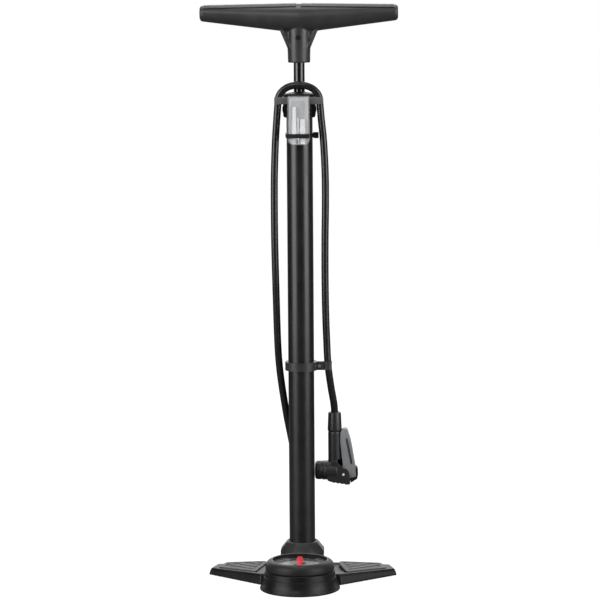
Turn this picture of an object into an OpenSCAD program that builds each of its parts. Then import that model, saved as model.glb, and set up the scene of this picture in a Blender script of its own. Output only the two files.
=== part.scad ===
// Floor bike pump: T handle, steel barrel, two-footed base with a pressure gauge,
// a hose stowed in an arch over the cap, and a pump head with a thumb lever.
// Millimetres. The origin is where the barrel's axis meets the floor; +Z is up and -Y is the front.

/* [Barrel and rod] */
// Outer radius of the steel barrel
barrel_r = 14.3; // [14:0.1:14.6]
// Wall thickness of the barrel
barrel_wall = 1.7; // [1.4:0.1:2]
// Height of the barrel's upper end
barrel_top = 524; // [522:1:526]
// Radius of the piston rod
rod_r = 6; // [5.5:0.1:6]
// How far the piston stands above its lowest point
piston_lift = 18; // [10:1:18]

/* [Handle] */
// Height of the handle's top
handle_top = 635; // [632:1:640]
// Half the width of the handle
grip_half = 108; // [100:1:115]
// Radius of the grip at its middle
grip_mid_r = 16.2; // [15:0.1:17]
// Radius of the grip at its ends
grip_end_r = 8.2; // [7.5:0.1:9]
// How far each arm of the grip rises, in degrees
grip_rise = 1.4; // [0:0.1:3]
// Radius of the neck under the grip
neck_r = 12.4; // [12:0.1:13]
// Height of the neck's lower end
neck_low = 570.5; // [568:0.5:573]

/* [Base] */
// Height of the base's top beside the gauge
base_h = 13; // [12:0.5:14]
// Height of the feet at their tips
tip_h = 8.6; // [8:0.2:9.4]
// Wall thickness of the base moulding
base_wall = 2.8; // [2.4:0.1:3.2]
// Distance from the barrel's axis forward to the gauge's axis
gauge_y = 62.5; // [62.5:0.1:63.5]
// Radius of the gauge cup just under the bezel
cup_r = 38; // [37.5:0.1:39]
// Height of the cup's rim
cup_h = 21.5; // [21:0.5:22]
// Radius of the gauge's window
window_r = 28.5; // [27:0.5:29]

/* [Pump head] */
// Distance of the head's axis to the right of the barrel's axis
head_x = 36.2; // [36:0.1:38]
// Distance of the head's axis behind the barrel's axis
head_y = 12; // [11.8:0.1:12.4]
// Height of the nozzle's axis
nozzle_z = 118; // [116:1:120]
// Radius of the valve hole
valve_r = 4; // [3.9:0.05:4.2]
// Radius of the head's upright neck
head_neck_r = 7.4; // [7:0.1:7.6]

/* [Hose] */
// Outer radius of the hose
hose_r = 4; // [3.5:0.1:4]

/* [Hidden] */
$fn = 64;
SIDES = 12;               // sides of the hose's tube
EPS = 0.01;
RUN = 0.05;               // radial clearance of a running fit
bore_r = barrel_r - barrel_wall;
floor_gap = 0.8;          // the moulding's rim stands this far above the floor

// Heights up the barrel
socket_floor = 14;        // where the barrel's seal lies in the base
valve_top = 40;           // top of the foot valve
piston_low = valve_top + 4 + piston_lift;
piston_len = 16;
cap_low = 511;
cap_shoulder = 530;
cap_top = 538.7;
bush_low = 500;
hook_z = [525.8, 533.5];  // lower and upper face of the hose hooks
clip_z = [232.5, 241.8];  // lower and upper face of the hose clip
clip_y = 2;               // the clip's hook lies this far behind the barrel's axis
arch_x = 22.8;            // half the width of the hose's arch
arch_y = -11;             // the arch crosses in front of the rod

// The hose, from its barb behind the base up the left side, over the cap and down to the head
HOSE_LEFT = [
    [0, 32, 36], [0, 32, 56], [-1, 31, 80], [-4, 27, 105], [-8.5, 22, 130], [-12.5, 18, 153],
    [-16.5, 15, 175], [-20, 12, 198], [-23.5, 8.5, 225], [-25.5, 6, 250], [-26.5, 3.5, 280],
    [-27, 1, 310], [-27.5, -1.5, 340], [-28, -3.5, 375], [-28, -5.5, 415], [-27.5, -7.5, 450],
    [-26, -9.5, 485], [-24.2, -10.7, 510], [-23, -11, 524]
];
HOSE_ARCH = [
    [-22.2, -11, 533], [-19, -11, 539], [-14, -11, 543.3], [-7.5, -11, 545.8], [0, -11, 546.5],
    [7.5, -11, 545.8], [14, -11, 543.3], [19, -11, 539], [22.2, -11, 533]
];
HOSE_RIGHT = [
    [23, -11, 524], [24.2, -10.7, 510], [26.5, -9.5, 485], [28, -7.5, 450], [28, -5.5, 415],
    [27.3, -3.8, 380], [27, -2, 340], [27.3, -0.5, 300], [28.3, 1, 265], [29.6, 2, 237],
    [32.5, 5.5, 213], [35.4, 9.8, 194], [head_x, head_y, 182], [head_x, head_y, 164.2]
];
HOSE = concat(HOSE_LEFT, HOSE_ARCH, HOSE_RIGHT);

// Feet: corners of the base's plan on the right, from the back to the front
tip_back = [98, 27];
tip_front = [105, 2.5];
cup_corner = [44.5, -48];
rear_boss_y = 32;
foot_pad_r = 7;
FOOT_PLACES = [[-87, 14], [87, 14], [0, -93], [0, 0]];
SCREW_PLACES = [[-52, -16], [52, -16], [-74, 12], [74, 12]];
cover_t = 2.4;            // thickness of the covers under the feet

// Gauge heights above the floor
dial_z = 26;
lens_z = [29.4, 31.2];
crest_z = 33;
crest_r = 30.2;
bezel_r = 37.5;
case_r = 31;              // inner radius of the bezel's skirt

// Gauge train: the sector turns the needle's pinion
tooth_module = 0.5;
pinion_teeth = 10;
sector_teeth = 80;
train_angle = 200;        // direction from the gauge's axis to the sector's pivot
sector_z = 19;
gear_t = 1.2;
arbor_r = 1;
pinion_pitch = tooth_module * pinion_teeth / 2;
sector_pitch = tooth_module * sector_teeth / 2;
train_gap = pinion_pitch + sector_pitch;
needle_start = 225;       // direction of the needle at rest, in degrees from +X

// Pump head, measured from its own axis
pivot_x = 9.7;
pivot_z = 114.5;
slot_half = 6.7;
lever_half = 6.3;
cheek_t = 2.7;
cam_r = 6.2;
slot_left = 3;
nut_r = 10.4;
ring_r = 10.8;
ring_x = [-14.2, 2.4];
mouth_x = -22;
gland_r = 7.1;
gland_x = [-19.4, -8.9];
plunger_x = [-6.9, 2.8];
sleeve_z = [162.2, 183.4];
barb_r = 3.5;

// Accessory case in front of the barrel
case_x = [-11.8, 10.2];
case_z = [481, 533];
case_y = [-27.5, -18.7];
case_back_y = -14.8;      // the lower half reaches back to the barrel
tie_z = [489.6, 494.2];
tie_t = 1.3;

BLACK = [0.1, 0.1, 0.11];
DARK = [0.17, 0.17, 0.18];
GREY = [0.5, 0.5, 0.51];
RUBBER = [0.13, 0.13, 0.13];
STEEL = [0.75, 0.76, 0.78];
BRASS = [0.78, 0.62, 0.3];
RED = [0.8, 0.15, 0.18];
WHITE = [0.86, 0.87, 0.88];
CLEAR = [0.88, 0.9, 0.91, 0.45];

// ---------- shared shapes ----------

// A tube or disc between two heights
module ring(outer, inner, z0, z1) {
    translate([0, 0, z0])
        difference() {
            cylinder(r = outer, h = z1 - z0);
            if (inner > 0)
                translate([0, 0, -1]) cylinder(r = inner, h = z1 - z0 + 2);
        }
}

// A cylinder along X between two places
module bar_x(r, x0, x1) {
    translate([x0, 0, 0]) rotate([0, 90, 0]) cylinder(r = r, h = x1 - x0);
}

// A cylinder along Y between two places
module bar_y(r, y0, y1) {
    translate([0, y1, 0]) rotate([90, 0, 0]) cylinder(r = r, h = y1 - y0);
}

// An outline in X and Z, given a thickness along Y about the middle
module slab_xz(half) {
    translate([0, half, 0]) rotate([90, 0, 0]) linear_extrude(2 * half) children();
}

// A box between two corners
module block(low, high) {
    translate(low) cube(high - low);
}

// Points of an arc, in degrees
function arc(centre, r, from, to, steps) =
    [for (i = [0:steps]) let (a = from + (to - from) * i / steps) centre + r * [cos(a), sin(a)]];

// A smooth curve through the points of a route, each stretch cut in two
function spline_point(a, b, c, d, t) =
    0.5 * (2 * b + t * (c - a) + t * t * (2 * a - 5 * b + 4 * c - d) + t * t * t * (3 * b - a - 3 * c + d));
function smooth(p, steps) =
    let (n = len(p) - 1)
    concat(
        [for (i = [0:n - 1], s = [0:steps - 1])
            spline_point(p[max(i - 1, 0)], p[i], p[i + 1], p[min(i + 2, n)], s / steps)],
        [p[n]]
    );

// A tube swept along a path: each ring lies square to the path, and turns as little as it can
function unit(v) = v / norm(v);
function tangent(p, i) = unit(p[min(i + 1, len(p) - 1)] - p[max(i - 1, 0)]);
function square_to(v, t) = unit(v - (v * t) * t);
function sides_of(p, start) = [
    for (i = 0, s = square_to(start, tangent(p, 0));
         i < len(p);
         i = i + 1, s = i < len(p) ? square_to(s, tangent(p, i)) : s) s
];
module swept_tube(path, r, sides, start = [1, 0, 0]) {
    normals = sides_of(path, start);
    n = len(path);
    points = [
        for (i = [0:n - 1], k = [0:sides - 1])
            let (t = tangent(path, i), u = normals[i], w = cross(t, u), a = 360 * k / sides)
            path[i] + r * (cos(a) * u + sin(a) * w)
    ];
    walls = [
        for (i = [0:n - 2], k = [0:sides - 1])
            let (a = i * sides + k, b = i * sides + (k + 1) % sides)
            each [[a, a + sides, b], [b, a + sides, b + sides]]
    ];
    ends = [
        for (k = [1:sides - 2])
            each [[0, k, k + 1], [(n - 1) * sides, (n - 1) * sides + k + 1, (n - 1) * sides + k]]
    ];
    polyhedron(points = points, faces = concat(walls, ends));
}

// ---------- base ----------

// Plan of the base: both feet in one outline, drawn in by a margin
module base_plan(margin = 0) {
    corners = [tip_back, tip_front, cup_corner];
    left = [for (i = [2:-1:0]) [-corners[i][0], corners[i][1]]];
    offset(r = 4) offset(delta = -4 - margin) polygon(concat(corners, left));
}

// The feet: full at the rim, with walls that lean in and a top that falls away to the tips
module feet_block(margin, drop) {
    hull() {
        translate([0, 0, floor_gap]) linear_extrude(1) base_plan(margin);
        translate([0, 0, tip_h - drop - 1.2]) linear_extrude(EPS) base_plan(margin + 1.6);
        translate([0, 0, tip_h - drop]) linear_extrude(EPS) base_plan(margin + 2.8);
        translate([0, 0, base_h - drop - 1.2])
            linear_extrude(EPS) intersection() {
                base_plan(margin + 1.9);
                square([88, 120], center = true);
            }
        translate([0, 0, base_h - drop])
            linear_extrude(EPS) intersection() {
                base_plan(margin + 3.1);
                square([86, 120], center = true);
            }
    }
}

// Outer line of the gauge cup: upright at the rim, swept out to its foot, with a small step half way
cup_step_z = 15;
function cup_line(z) =
    let (t = (cup_h - z) / (cup_h - 3.4)) cup_r + 2.6 * t + 2.3 * pow(t, 6);

module cup_outside() {
    rotate_extrude()
        polygon(concat(
            [[0, floor_gap], [43.7, floor_gap], [43.7, 2.7]],
            [for (i = [0:6]) let (z = 3.4 + (cup_step_z - 3.4) * i / 6) [cup_line(z) + 0.35, z]],
            [for (i = [0:4]) let (z = cup_step_z + (cup_h - cup_step_z) * i / 4) [cup_line(z), z]],
            [[0, cup_h]]
        ));
}

// The raised hub round the barrel, with a fillet down to the feet
module hub() {
    fillet = 5;
    top_r = 24.6;
    rotate_extrude()
        polygon(concat(
            [[0, floor_gap], [top_r + fillet + 0.5, floor_gap], [top_r + fillet + 0.5, base_h - 1.5]],
            arc([top_r + fillet, base_h - 1 + fillet], fillet, 270, 180, 6),
            [[top_r, 23.8], [19.4, 23.8], [19.4, 34], [0, 34]]
        ));
}

// Stiffening ribs inside each foot
module foot_ribs() {
    rib_z = floor_gap + cover_t + 0.05;
    intersection() {
        feet_block(1, 0.5);
        union() {
            for (x = [-84, -64, 64, 84]) translate([x - 1, -60, rib_z]) cube([2, 100, 20]);
            translate([-104, 10, rib_z]) cube([208, 2, 20]);
            // bosses for the covers' screws
            for (p = SCREW_PLACES) translate([p[0], p[1], rib_z]) cylinder(r = 3.8, h = 20);
        }
    }
}

module base_casting() {
    color(BLACK)
    difference() {
        union() {
            difference() {
                feet_block(0, 0);
                translate([0, 0, -1.2]) feet_block(base_wall, base_wall);
            }
            foot_ribs();
            translate([0, 0, floor_gap]) linear_extrude(1.8) difference() {
                base_plan(-1.4);
                base_plan(base_wall);
            }
            translate([0, -gauge_y, 0]) cup_outside();
            hub();
            translate([0, rear_boss_y, 0]) ring(9, 0, floor_gap, 23.8);
        }
        // room for the gauge
        translate([0, -gauge_y, 5]) cylinder(r = 33, h = 40);
        // socket for the barrel and its seal
        ring(barrel_r + 0.1, 0, socket_floor - 2, 40);
        // air channels from the socket to the gauge and to the hose
        translate([0, 0, 8]) bar_y(1.8, -gauge_y + 4, rear_boss_y);
        ring(1.8, 0, 7, 14);
        translate([0, rear_boss_y, 0]) ring(3.4, 0, 8, 25);
        // recesses for the rubber feet
        for (p = FOOT_PLACES) translate([p[0], p[1], -1]) cylinder(r = foot_pad_r + 0.1, h = 3);
        for (p = SCREW_PLACES) translate([p[0], p[1], -1]) cylinder(r = 1.4, h = 7.8);
    }
}

// Cover that closes each foot from below
module base_covers() {
    color(DARK)
    for (side = [0, 1]) mirror([side, 0, 0])
        difference() {
            translate([0, 0, floor_gap]) linear_extrude(cover_t) difference() {
                intersection() {
                    base_plan(base_wall + 1.7);
                    translate([20, -34]) square([100, 100]);
                }
                circle(r = 32);
                translate([0, -gauge_y]) circle(r = 44.2);
            }
            // recess of the rubber foot, and the sunk holes of the screws
            translate([87, 14, -1]) cylinder(r = foot_pad_r + 0.1, h = 3);
            for (p = [SCREW_PLACES[1], SCREW_PLACES[3]]) translate([p[0], p[1], -1]) {
                cylinder(r = 3.2, h = 3.25);
                cylinder(r = 1.6, h = 9);
            }
        }
}

module rubber_feet() {
    color(RUBBER)
    for (p = FOOT_PLACES)
        translate([p[0], p[1], 0]) {
            cylinder(r1 = foot_pad_r - 0.6, r2 = foot_pad_r, h = 0.8);
            translate([0, 0, 0.8]) cylinder(r = foot_pad_r, h = 1.2);
        }
}

module base_screws() {
    color(STEEL)
    for (p = SCREW_PLACES)
        translate([p[0], p[1], 0]) difference() {
            union() {
                translate([0, 0, 1]) cylinder(r = 3, h = 1.25);
                translate([0, 0, 2.2]) cylinder(r = 1.38, h = 4.2);
            }
            for (a = [0, 90]) rotate(a) translate([-2, -0.4, 0]) cube([4, 0.8, 1.8]);
        }
}

// Rubber tread on the right foot, with diagonal ribs; the left one is its mirror image
module foot_pad_plan(margin = 0) {
    offset(r = 2) offset(delta = -2 - margin)
        polygon([[93, -0.5], [87.5, 23.2], [38, 23.2], [38, 10], [49.5, -35.5]]);
}

module foot_pad() {
    slope = atan2(base_h - tip_h, 99 - 43);
    // the tread lies on the sloping top of the foot
    difference() {
        translate([43, 0, base_h]) rotate([0, slope, 0]) translate([-43, 0, -2])
            linear_extrude(3.3) foot_pad_plan();
        feet_block(0, -0.03);
    }
    translate([43, 0, base_h]) rotate([0, slope, 0]) translate([-43, 0, 0]) {
        translate([0, 0, 1.2]) linear_extrude(0.9) intersection() {
            foot_pad_plan(3.5);
            for (i = [-3:4])
                translate([62 + 7.5 * i, -8]) rotate(-43) square([2.4, 90], center = true);
        }
    }
}

module right_foot_pad() {
    color(RUBBER) foot_pad();
}

module left_foot_pad() {
    color(RUBBER) mirror([1, 0, 0]) foot_pad();
}

// ---------- barrel and foot valve ----------

module barrel() {
    color(BLACK) ring(barrel_r, bore_r, socket_floor, barrel_top);
}

module barrel_seal() {
    color(RUBBER) ring(barrel_r, bore_r - 1, socket_floor - 2, socket_floor);
}

// Eight-sided ring nut that holds the barrel to the base; each side leans in above its middle
module barrel_collar() {
    facets = 8;
    corner = 1 / cos(180 / facets);
    color(BLACK)
    difference() {
        rotate(180 / facets) {
            translate([0, 0, 23.9]) cylinder(r = 23.8 * corner, h = 7.3, $fn = facets);
            translate([0, 0, 31.2]) cylinder(r1 = 23.5 * corner, r2 = 17 * corner, h = 9, $fn = facets);
            translate([0, 0, 40.2]) cylinder(r1 = 16.7 * corner, r2 = 16.1 * corner, h = 0.8, $fn = facets);
        }
        ring(19.5, 0, 20, 34);
        ring(barrel_r + 0.05, 0, 30, 50);
    }
}

// Aluminium plug in the barrel's foot, with the port and the seat of the check valve
module foot_valve() {
    color(STEEL)
    difference() {
        ring(bore_r - 0.05, 0, socket_floor, valve_top);
        ring(2, 0, 30, valve_top + 1);
        ring(5.2, 0, 18, 34);
        ring(1.8, 0, 10, 20);
        // groove round the plug
        rotate_extrude() translate([bore_r - 1.2, 27]) square([3, 2.4]);
    }
}

module valve_disc() {
    color(RUBBER) {
        ring(4.4, 0, 31.9, 33.98);
        ring(1.5, 0, 30, 32);
    }
}

module valve_spring() {
    turns = 5;
    coil_r = 3.1;
    wire_r = 0.4;
    low = 18.4;
    high = 31.4;
    steps = 8;
    path = [
        for (i = [0:turns * steps])
            let (a = 360 * i / steps, z = low + (high - low) * i / (turns * steps))
            [coil_r * cos(a), coil_r * sin(a), z]
    ];
    color(STEEL) swept_tube(path, wire_r, 6);
}

// ---------- hose and its fittings ----------

module hose() {
    color(RUBBER) swept_tube(smooth(HOSE, 2), hose_r, SIDES);
}

module hose_barb() {
    color(BRASS) translate([0, rear_boss_y, 0])
    difference() {
        union() {
            ring(3.4, 0, 12, 23.9);
            translate([0, 0, 23.85]) cylinder(r = 7.4, h = 4.5, $fn = 6);
            ring(4, 0, 28.3, 30);
            for (z = [30, 33, 36])
                translate([0, 0, z]) cylinder(r1 = 2.9, r2 = 2.2, h = 3);
        }
        ring(1.4, 0, 10, 40);
    }
}

module hose_ferrule() {
    color(STEEL) translate([0, rear_boss_y, 0])
    difference() {
        ring(5.4, hose_r + 0.02, 30.05, 48);
        for (z = [36, 41])
            rotate_extrude() translate([5.1, z]) square([1, 1.4]);
    }
}

// Turning spigot on the hose's other end, held in the pump head
module swivel_barb() {
    color(BRASS) translate([head_x, head_y, 0])
    difference() {
        union() {
            ring(barb_r, 0, 150, 162);
            ring(5, 0, 162.3, 164.2);
            ring(barb_r, 0, 161.9, 162.4);
        }
        ring(1.4, 0, 149, 166);
    }
}

// ---------- pressure gauge ----------

module at_gauge() {
    translate([0, -gauge_y, 0]) children();
}

// Where the sector's pivot stands, from the gauge's axis
function sector_place() = train_gap * [cos(train_angle), sin(train_angle), 0];

module gauge_movement() {
    color(BRASS) at_gauge()
    difference() {
        union() {
            ring(32, 0, 5, 7);
            // stem block that takes the air
            block([-5, 14, 6.5], [5, 27, 18]);
            // pillars carry the dial's bridge
            for (a = [30, 150, 270]) rotate(a) translate([28.8, 0, 6.5]) cylinder(r = 1.8, h = dial_z - 6.5);
            // lower bearings of the two arbors
            ring(3, 0, 6.5, 17.8);
            translate(sector_place()) ring(1.9, 0, 6.5, 18.8);
        }
        ring(arbor_r + RUN, 0, 10, 20);
        translate(sector_place()) ring(arbor_r + RUN, 0, 10, 20);
        translate([0, 18.5, 0]) ring(1.6, 0, 4, 12);
    }
}

// C-shaped pressure tube, from the stem block round to its free tip
module bourdon_tube() {
    color(BRASS) at_gauge()
    translate([0, 0, 10.6]) rotate(-122)
        rotate_extrude(angle = 200.1) translate([24.8, 0]) square([1.6, 4.6]);
}

// Flat spiral spring that takes up the play of the gears
module hairspring() {
    turns = 4;
    steps = 12;
    path = [
        for (i = [0:turns * steps])
            let (a = 360 * i / steps, r = 1.6 + 5.2 * i / (turns * steps)) [r * cos(a), r * sin(a), 22.6]
    ];
    color(STEEL) at_gauge() swept_tube(path, 0.2, 6, [0, 0, 1]);
}

// Outline of a gear or of part of one: tapered teeth on a root circle, with room between them
module toothed(teeth, first, last) {
    pitch_r = tooth_module * teeth / 2;
    root_r = pitch_r - 0.62;
    tip_r = pitch_r + 0.36;
    root_half = 0.42;
    pitch_half = 0.26;
    tip_half = 0.1;
    circle(r = root_r, $fn = 96);
    for (i = [first:last]) rotate(360 * i / teeth)
        polygon([
            [root_r - 0.3, -root_half], [pitch_r, -pitch_half], [tip_r, -tip_half],
            [tip_r, tip_half], [pitch_r, pitch_half], [root_r - 0.3, root_half]
        ]);
}

module sector_gear() {
    color(BRASS) at_gauge() translate(sector_place()) {
        // arbor
        ring(arbor_r, 0, 11, 21.4);
        translate([0, 0, sector_z]) linear_extrude(gear_t)
            rotate(train_angle - 180) intersection() {
                toothed(sector_teeth, -10, 3);
                union() {
                    polygon([[0, 0], 24 * [cos(-50), sin(-50)], 25 * [cos(-16), sin(-16)], 24 * [cos(18), sin(18)]]);
                    circle(r = 3);
                }
            }
        // tail that the tube's link pulls
        translate([0, 0, sector_z]) linear_extrude(gear_t)
            rotate(train_angle + 60) translate([0, -1.2]) square([6, 2.4]);
    }
}

module gauge_needle() {
    color(BLACK) at_gauge() {
        ring(arbor_r, 0, 11, 28.6);
        // a gap of the pinion meets a tooth of the sector
        translate([0, 0, sector_z - 0.4]) linear_extrude(gear_t + 0.8)
            rotate(train_angle + 180 / pinion_teeth) toothed(pinion_teeth, 0, pinion_teeth - 1);
        ring(3, 0, 27.2, 28.8);
        translate([0, 0, 27.5]) linear_extrude(0.6) rotate(needle_start)
            polygon([[-8, -1.4], [-8, 1.4], [0, 1.1], [25, 0.25], [25, -0.25], [0, -1.1]]);
    }
}

module gauge_dial() {
    color(WHITE) at_gauge() ring(case_r - 0.2, arbor_r + 0.8, dial_z, dial_z + 0.8);
}

module gauge_lens() {
    color(CLEAR) at_gauge() ring(case_r - 0.1, 2.05, lens_z[0], lens_z[1]);
}

module gauge_bezel() {
    rim = 7;
    color(BLACK) at_gauge()
    rotate_extrude()
        polygon(concat(
            [[case_r, 16], [32.9, 16], [32.9, cup_h + 0.4], [36.9, cup_h + 0.4], [bezel_r, 23.4]],
            [[bezel_r, 26.2]],
            arc([bezel_r - rim - 0.2, crest_z - rim], rim, 3, 86, 8),
            [[crest_r - 0.9, crest_z - 0.2], [window_r, lens_z[1] + 0.35], [window_r, lens_z[1]]],
            [[case_r, lens_z[1]]]
        ));
}

// Red marker that is turned by hand to the wanted pressure
module target_marker() {
    color(RED) at_gauge() rotate(3)
    difference() {
        union() {
            ring(4.2, 0, lens_z[1] + 0.1, lens_z[1] + 1.3);
            // grip ridge, with a rounded back
            translate([0, 0, lens_z[1] + 0.2]) rotate([90, 0, 90]) translate([0, 0, -3.15])
                linear_extrude(6.3)
                    polygon(concat([[-21, 0], [-21, 1.2]], arc([0, -42], 45.6, 104, 78, 6), [[15, 1.4], [15, 0]]));
            // pointer that reaches out to the scale
            translate([0, 0, lens_z[1] + 0.2]) linear_extrude(0.9)
                polygon([[-3.8, -20], [3.8, -20], [0.8, -27], [-0.8, -27]]);
        }
        ring(1.2, 0, 30, 40);
    }
}

// Clip that holds the marker in the lens
module marker_clip() {
    color(RED) at_gauge() rotate(3) {
        ring(1.2, 0, 29.2, 34.6);
        ring(2, 0, 29.1, 31.25);
    }
}

// ---------- barrel cap ----------

// A hook that holds the hose and opens outwards; it lies about the hose's axis
module hose_hook(centre, side, outer, z) {
    translate([centre[0], centre[1], 0])
        difference() {
            ring(outer, hose_r + 0.1, z[0], z[1]);
            translate([0, 0, z[0] - 1]) linear_extrude(z[1] - z[0] + 2)
                polygon([[0, 0], side * [9, 8], side * [12, 0], side * [9, -8]]);
        }
}

module barrel_cap() {
    plate_y = [arch_y - hose_r - 2.4, arch_y - hose_r - 0.15];
    color(DARK)
    difference() {
        union() {
            rotate_extrude() polygon(concat(
                [[0, cap_low], [16.4, cap_low], [17, cap_low + 0.6], [17, 517], [17.9, 519], [17.9, cap_shoulder]],
                arc([14.4, cap_shoulder + 0.6], 3.5, 10, 70, 5),
                [[11.6, 536], [8.6, 537.8], [7.4, cap_top], [0, cap_top]]
            ));
            for (side = [-1, 1]) {
                // snap lugs at the sides
                translate([side * 17.2, 0, 0])
                    block([-1.3, -4, 517.5], [1.3, 4, 523.5]);
                hose_hook([side * arch_x, arch_y], side, 5.7, hook_z);
                // arm from the cap out to the hook, and the flat plate in front of the hose
                translate([0, 0, hook_z[0]]) linear_extrude(hook_z[1] - hook_z[0]) {
                    polygon([[side * 9, -15.2], [side * 12, plate_y[0]], [side * 18, plate_y[0]],
                        [side * 19.2, -7.6], [side * 12, 2]]);
                    polygon([[side * 12, plate_y[0]], [side * 26.6, plate_y[0]], [side * 26.9, plate_y[1]],
                        [side * 12, plate_y[1]]]);
                }
            }
        }
        ring(barrel_r + 0.02, 0, 500, barrel_top + 0.05);
        ring(9.5, 0, 510, 532);
        ring(rod_r + 0.3, 0, 500, 550);
    }
}

module rod_bush() {
    color(GREY)
    difference() {
        union() {
            ring(bore_r - 0.05, 0, bush_low, barrel_top + 0.05);
            ring(9.4, 0, barrel_top, 528);
        }
        ring(rod_r + RUN, 0, 490, 540);
        // air slots down the bush
        for (a = [0, 90, 180, 270]) rotate(a) translate([10.6, -1.5, bush_low - 1]) cube([4, 3, 12]);
    }
}

module rod_wiper() {
    color(RUBBER) ring(9.3, rod_r + RUN, 528.05, 531.9);
}

// ---------- clip half way down ----------

module hose_clip() {
    leaf = 2.5;
    color(DARK)
    difference() {
        union() {
            ring(17.7, 0, clip_z[0], clip_z[1]);
            // the two leaves that the screw draws together
            for (y = [-leaf - 0.4, 0.4])
                block([12, y, clip_z[0]], [25.2, y + leaf, clip_z[1]]);
            block([23.8, -leaf - 0.4, clip_z[0]], [25.6, leaf + 0.4, clip_z[1]]);
            hose_hook([29.6, clip_y], 1, 5.5, clip_z);
        }
        ring(barrel_r + 0.01, 0, 200, 260);
        block([14, -0.4, 200], [23.8, 0.4, 260]);
        translate([20.2, 0, 237.2]) bar_y(1.6, -8, 8);
        translate([29.6, clip_y, 0]) ring(hose_r + 0.1, 0, 200, 260);
    }
}

module clip_screw() {
    color(STEEL) translate([20.2, 0, 237.2]) {
        bar_y(1.55, -3, 5);
        bar_y(2, -4.1, -2.92);
        translate([0, 5.2, 0]) rotate([90, 0, 0]) cylinder(r = 2.4, h = 2.2, $fn = 6);
    }
}

// ---------- accessory case ----------

module case_outline(margin) {
    offset(r = -margin) hull() {
        translate([case_x[0] + 6, case_z[0] + 6]) circle(r = 6, $fn = 32);
        translate([case_x[1] - 6, case_z[0] + 6]) circle(r = 6, $fn = 32);
        translate([case_x[0] + 1, case_z[1] - 1]) circle(r = 1, $fn = 32);
        translate([case_x[1] - 1, case_z[1] - 1]) circle(r = 1, $fn = 32);
    }
}

module case_prism(margin, y0, y1) {
    translate([0, y1, 0]) rotate([90, 0, 0]) linear_extrude(y1 - y0) case_outline(margin);
}

// Clear box whose back is stepped: deep against the barrel, shallow in front of the cap
module accessory_case() {
    wall = 0.9;
    step_z = cap_low - 1.5;
    color(CLEAR)
    difference() {
        union() {
            case_prism(0, case_y[0], case_y[1]);
            intersection() {
                case_prism(0, case_y[0], case_back_y);
                block([-20, -40, 470], [20, -10, step_z]);
            }
        }
        case_prism(wall, case_y[0] + wall, case_y[1] - wall);
        intersection() {
            case_prism(wall, case_y[0] + wall, case_back_y - wall);
            block([-20, -40, 470], [20, -10, step_z - wall]);
        }
    }
}

module case_card() {
    color(GREY) block([-7.5, -20.6, 510.8], [6, -19.8, 529.5]);
}

// Cone that fits the valves of air beds and balls
module cone_adapter() {
    color(WHITE) translate([-4.6, -23.1, 0])
    difference() {
        union() {
            ring(3, 0, 483, 487);
            ring(3.4, 0, 487, 489);
            translate([0, 0, 489]) cylinder(r1 = 3, r2 = 1.9, h = 34);
        }
        ring(0.9, 0, 482, 530);
    }
}

module valve_adapter() {
    color(WHITE) translate([4.4, -23.1, 0])
    difference() {
        union() {
            ring(3, 0, 483, 496);
            ring(3.3, 0, 496, 500);
            ring(2.6, 0, 500, 510);
        }
        ring(1.2, 0, 482, 512);
    }
}

module ball_needle() {
    color(STEEL) translate([-0.4, -24.8, 0]) {
        ring(1.1, 0, 483, 490);
        ring(0.6, 0, 490, 511);
    }
}

// Strap round the barrel and the case, pulled through its head at the side
module cable_tie() {
    color(BLACK) {
        translate([0, 0, tie_z[0]]) linear_extrude(tie_z[1] - tie_z[0]) difference() {
            tie_line(tie_t);
            tie_line(0.05);
        }
        difference() {
            block([15.4, -9, tie_z[0] - 1], [21, -4.4, tie_z[1] + 1]);
            block([17.4, -7.6, tie_z[0] - 2], [19, -5.6, tie_z[1] + 2]);
        }
        block([13.4, -8.4, tie_z[0]], [15.6, -5.4, tie_z[1]]);
    }
}

module tie_line(gap) {
    hull() {
        circle(r = barrel_r + gap, $fn = 48);
        translate([case_x[0] - gap, case_y[0] - gap])
            square([case_x[1] - case_x[0] + 2 * gap, 6]);
    }
}

// ---------- piston, rod and handle ----------

module piston() {
    color(GREY)
    difference() {
        ring(bore_r - 0.4, 0, piston_low, piston_low + piston_len);
        ring(3 + RUN, 0, piston_low - 1, piston_low + piston_len + 1);
        // seat for the rod's shoulder
        ring(rod_r + 0.15, 0, piston_low + piston_len - 4, piston_low + piston_len + 1);
        // groove of the seal
        rotate_extrude() translate([bore_r - 2.6, piston_low + 6]) square([4, 3]);
        // air slots
        for (a = [0:60:300]) rotate(a) translate([bore_r - 1.6, -1.2, piston_low + 9.5]) cube([4, 2.4, 8]);
    }
}

module piston_seal() {
    color(RUBBER) ring(bore_r - RUN, bore_r - 2.5, piston_low + 6.05, piston_low + 8.95);
}

module piston_nut() {
    color(STEEL)
    difference() {
        union() {
            ring(6.4, 0, piston_low - 1.1, piston_low - 0.1);
            translate([0, 0, piston_low - 3.6]) cylinder(r = 5.4, h = 2.5, $fn = 6);
        }
        ring(2.9, 0, piston_low - 5, piston_low + 1);
    }
}

module piston_rod() {
    shoulder = piston_low + piston_len - 3.9;
    color(BLACK)
    difference() {
        union() {
            ring(rod_r, 0, shoulder, 607);
            ring(3, 0, piston_low - 0.1, shoulder);
            ring(2.9, 0, piston_low - 3.8, piston_low);
        }
        translate([0, 0, 597.5]) bar_y(1.6, -10, 4);
    }
}

module rod_bumper() {
    color(RUBBER) ring(10.2, rod_r, piston_low + piston_len + 0.4, piston_low + piston_len + 7);
}

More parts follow.
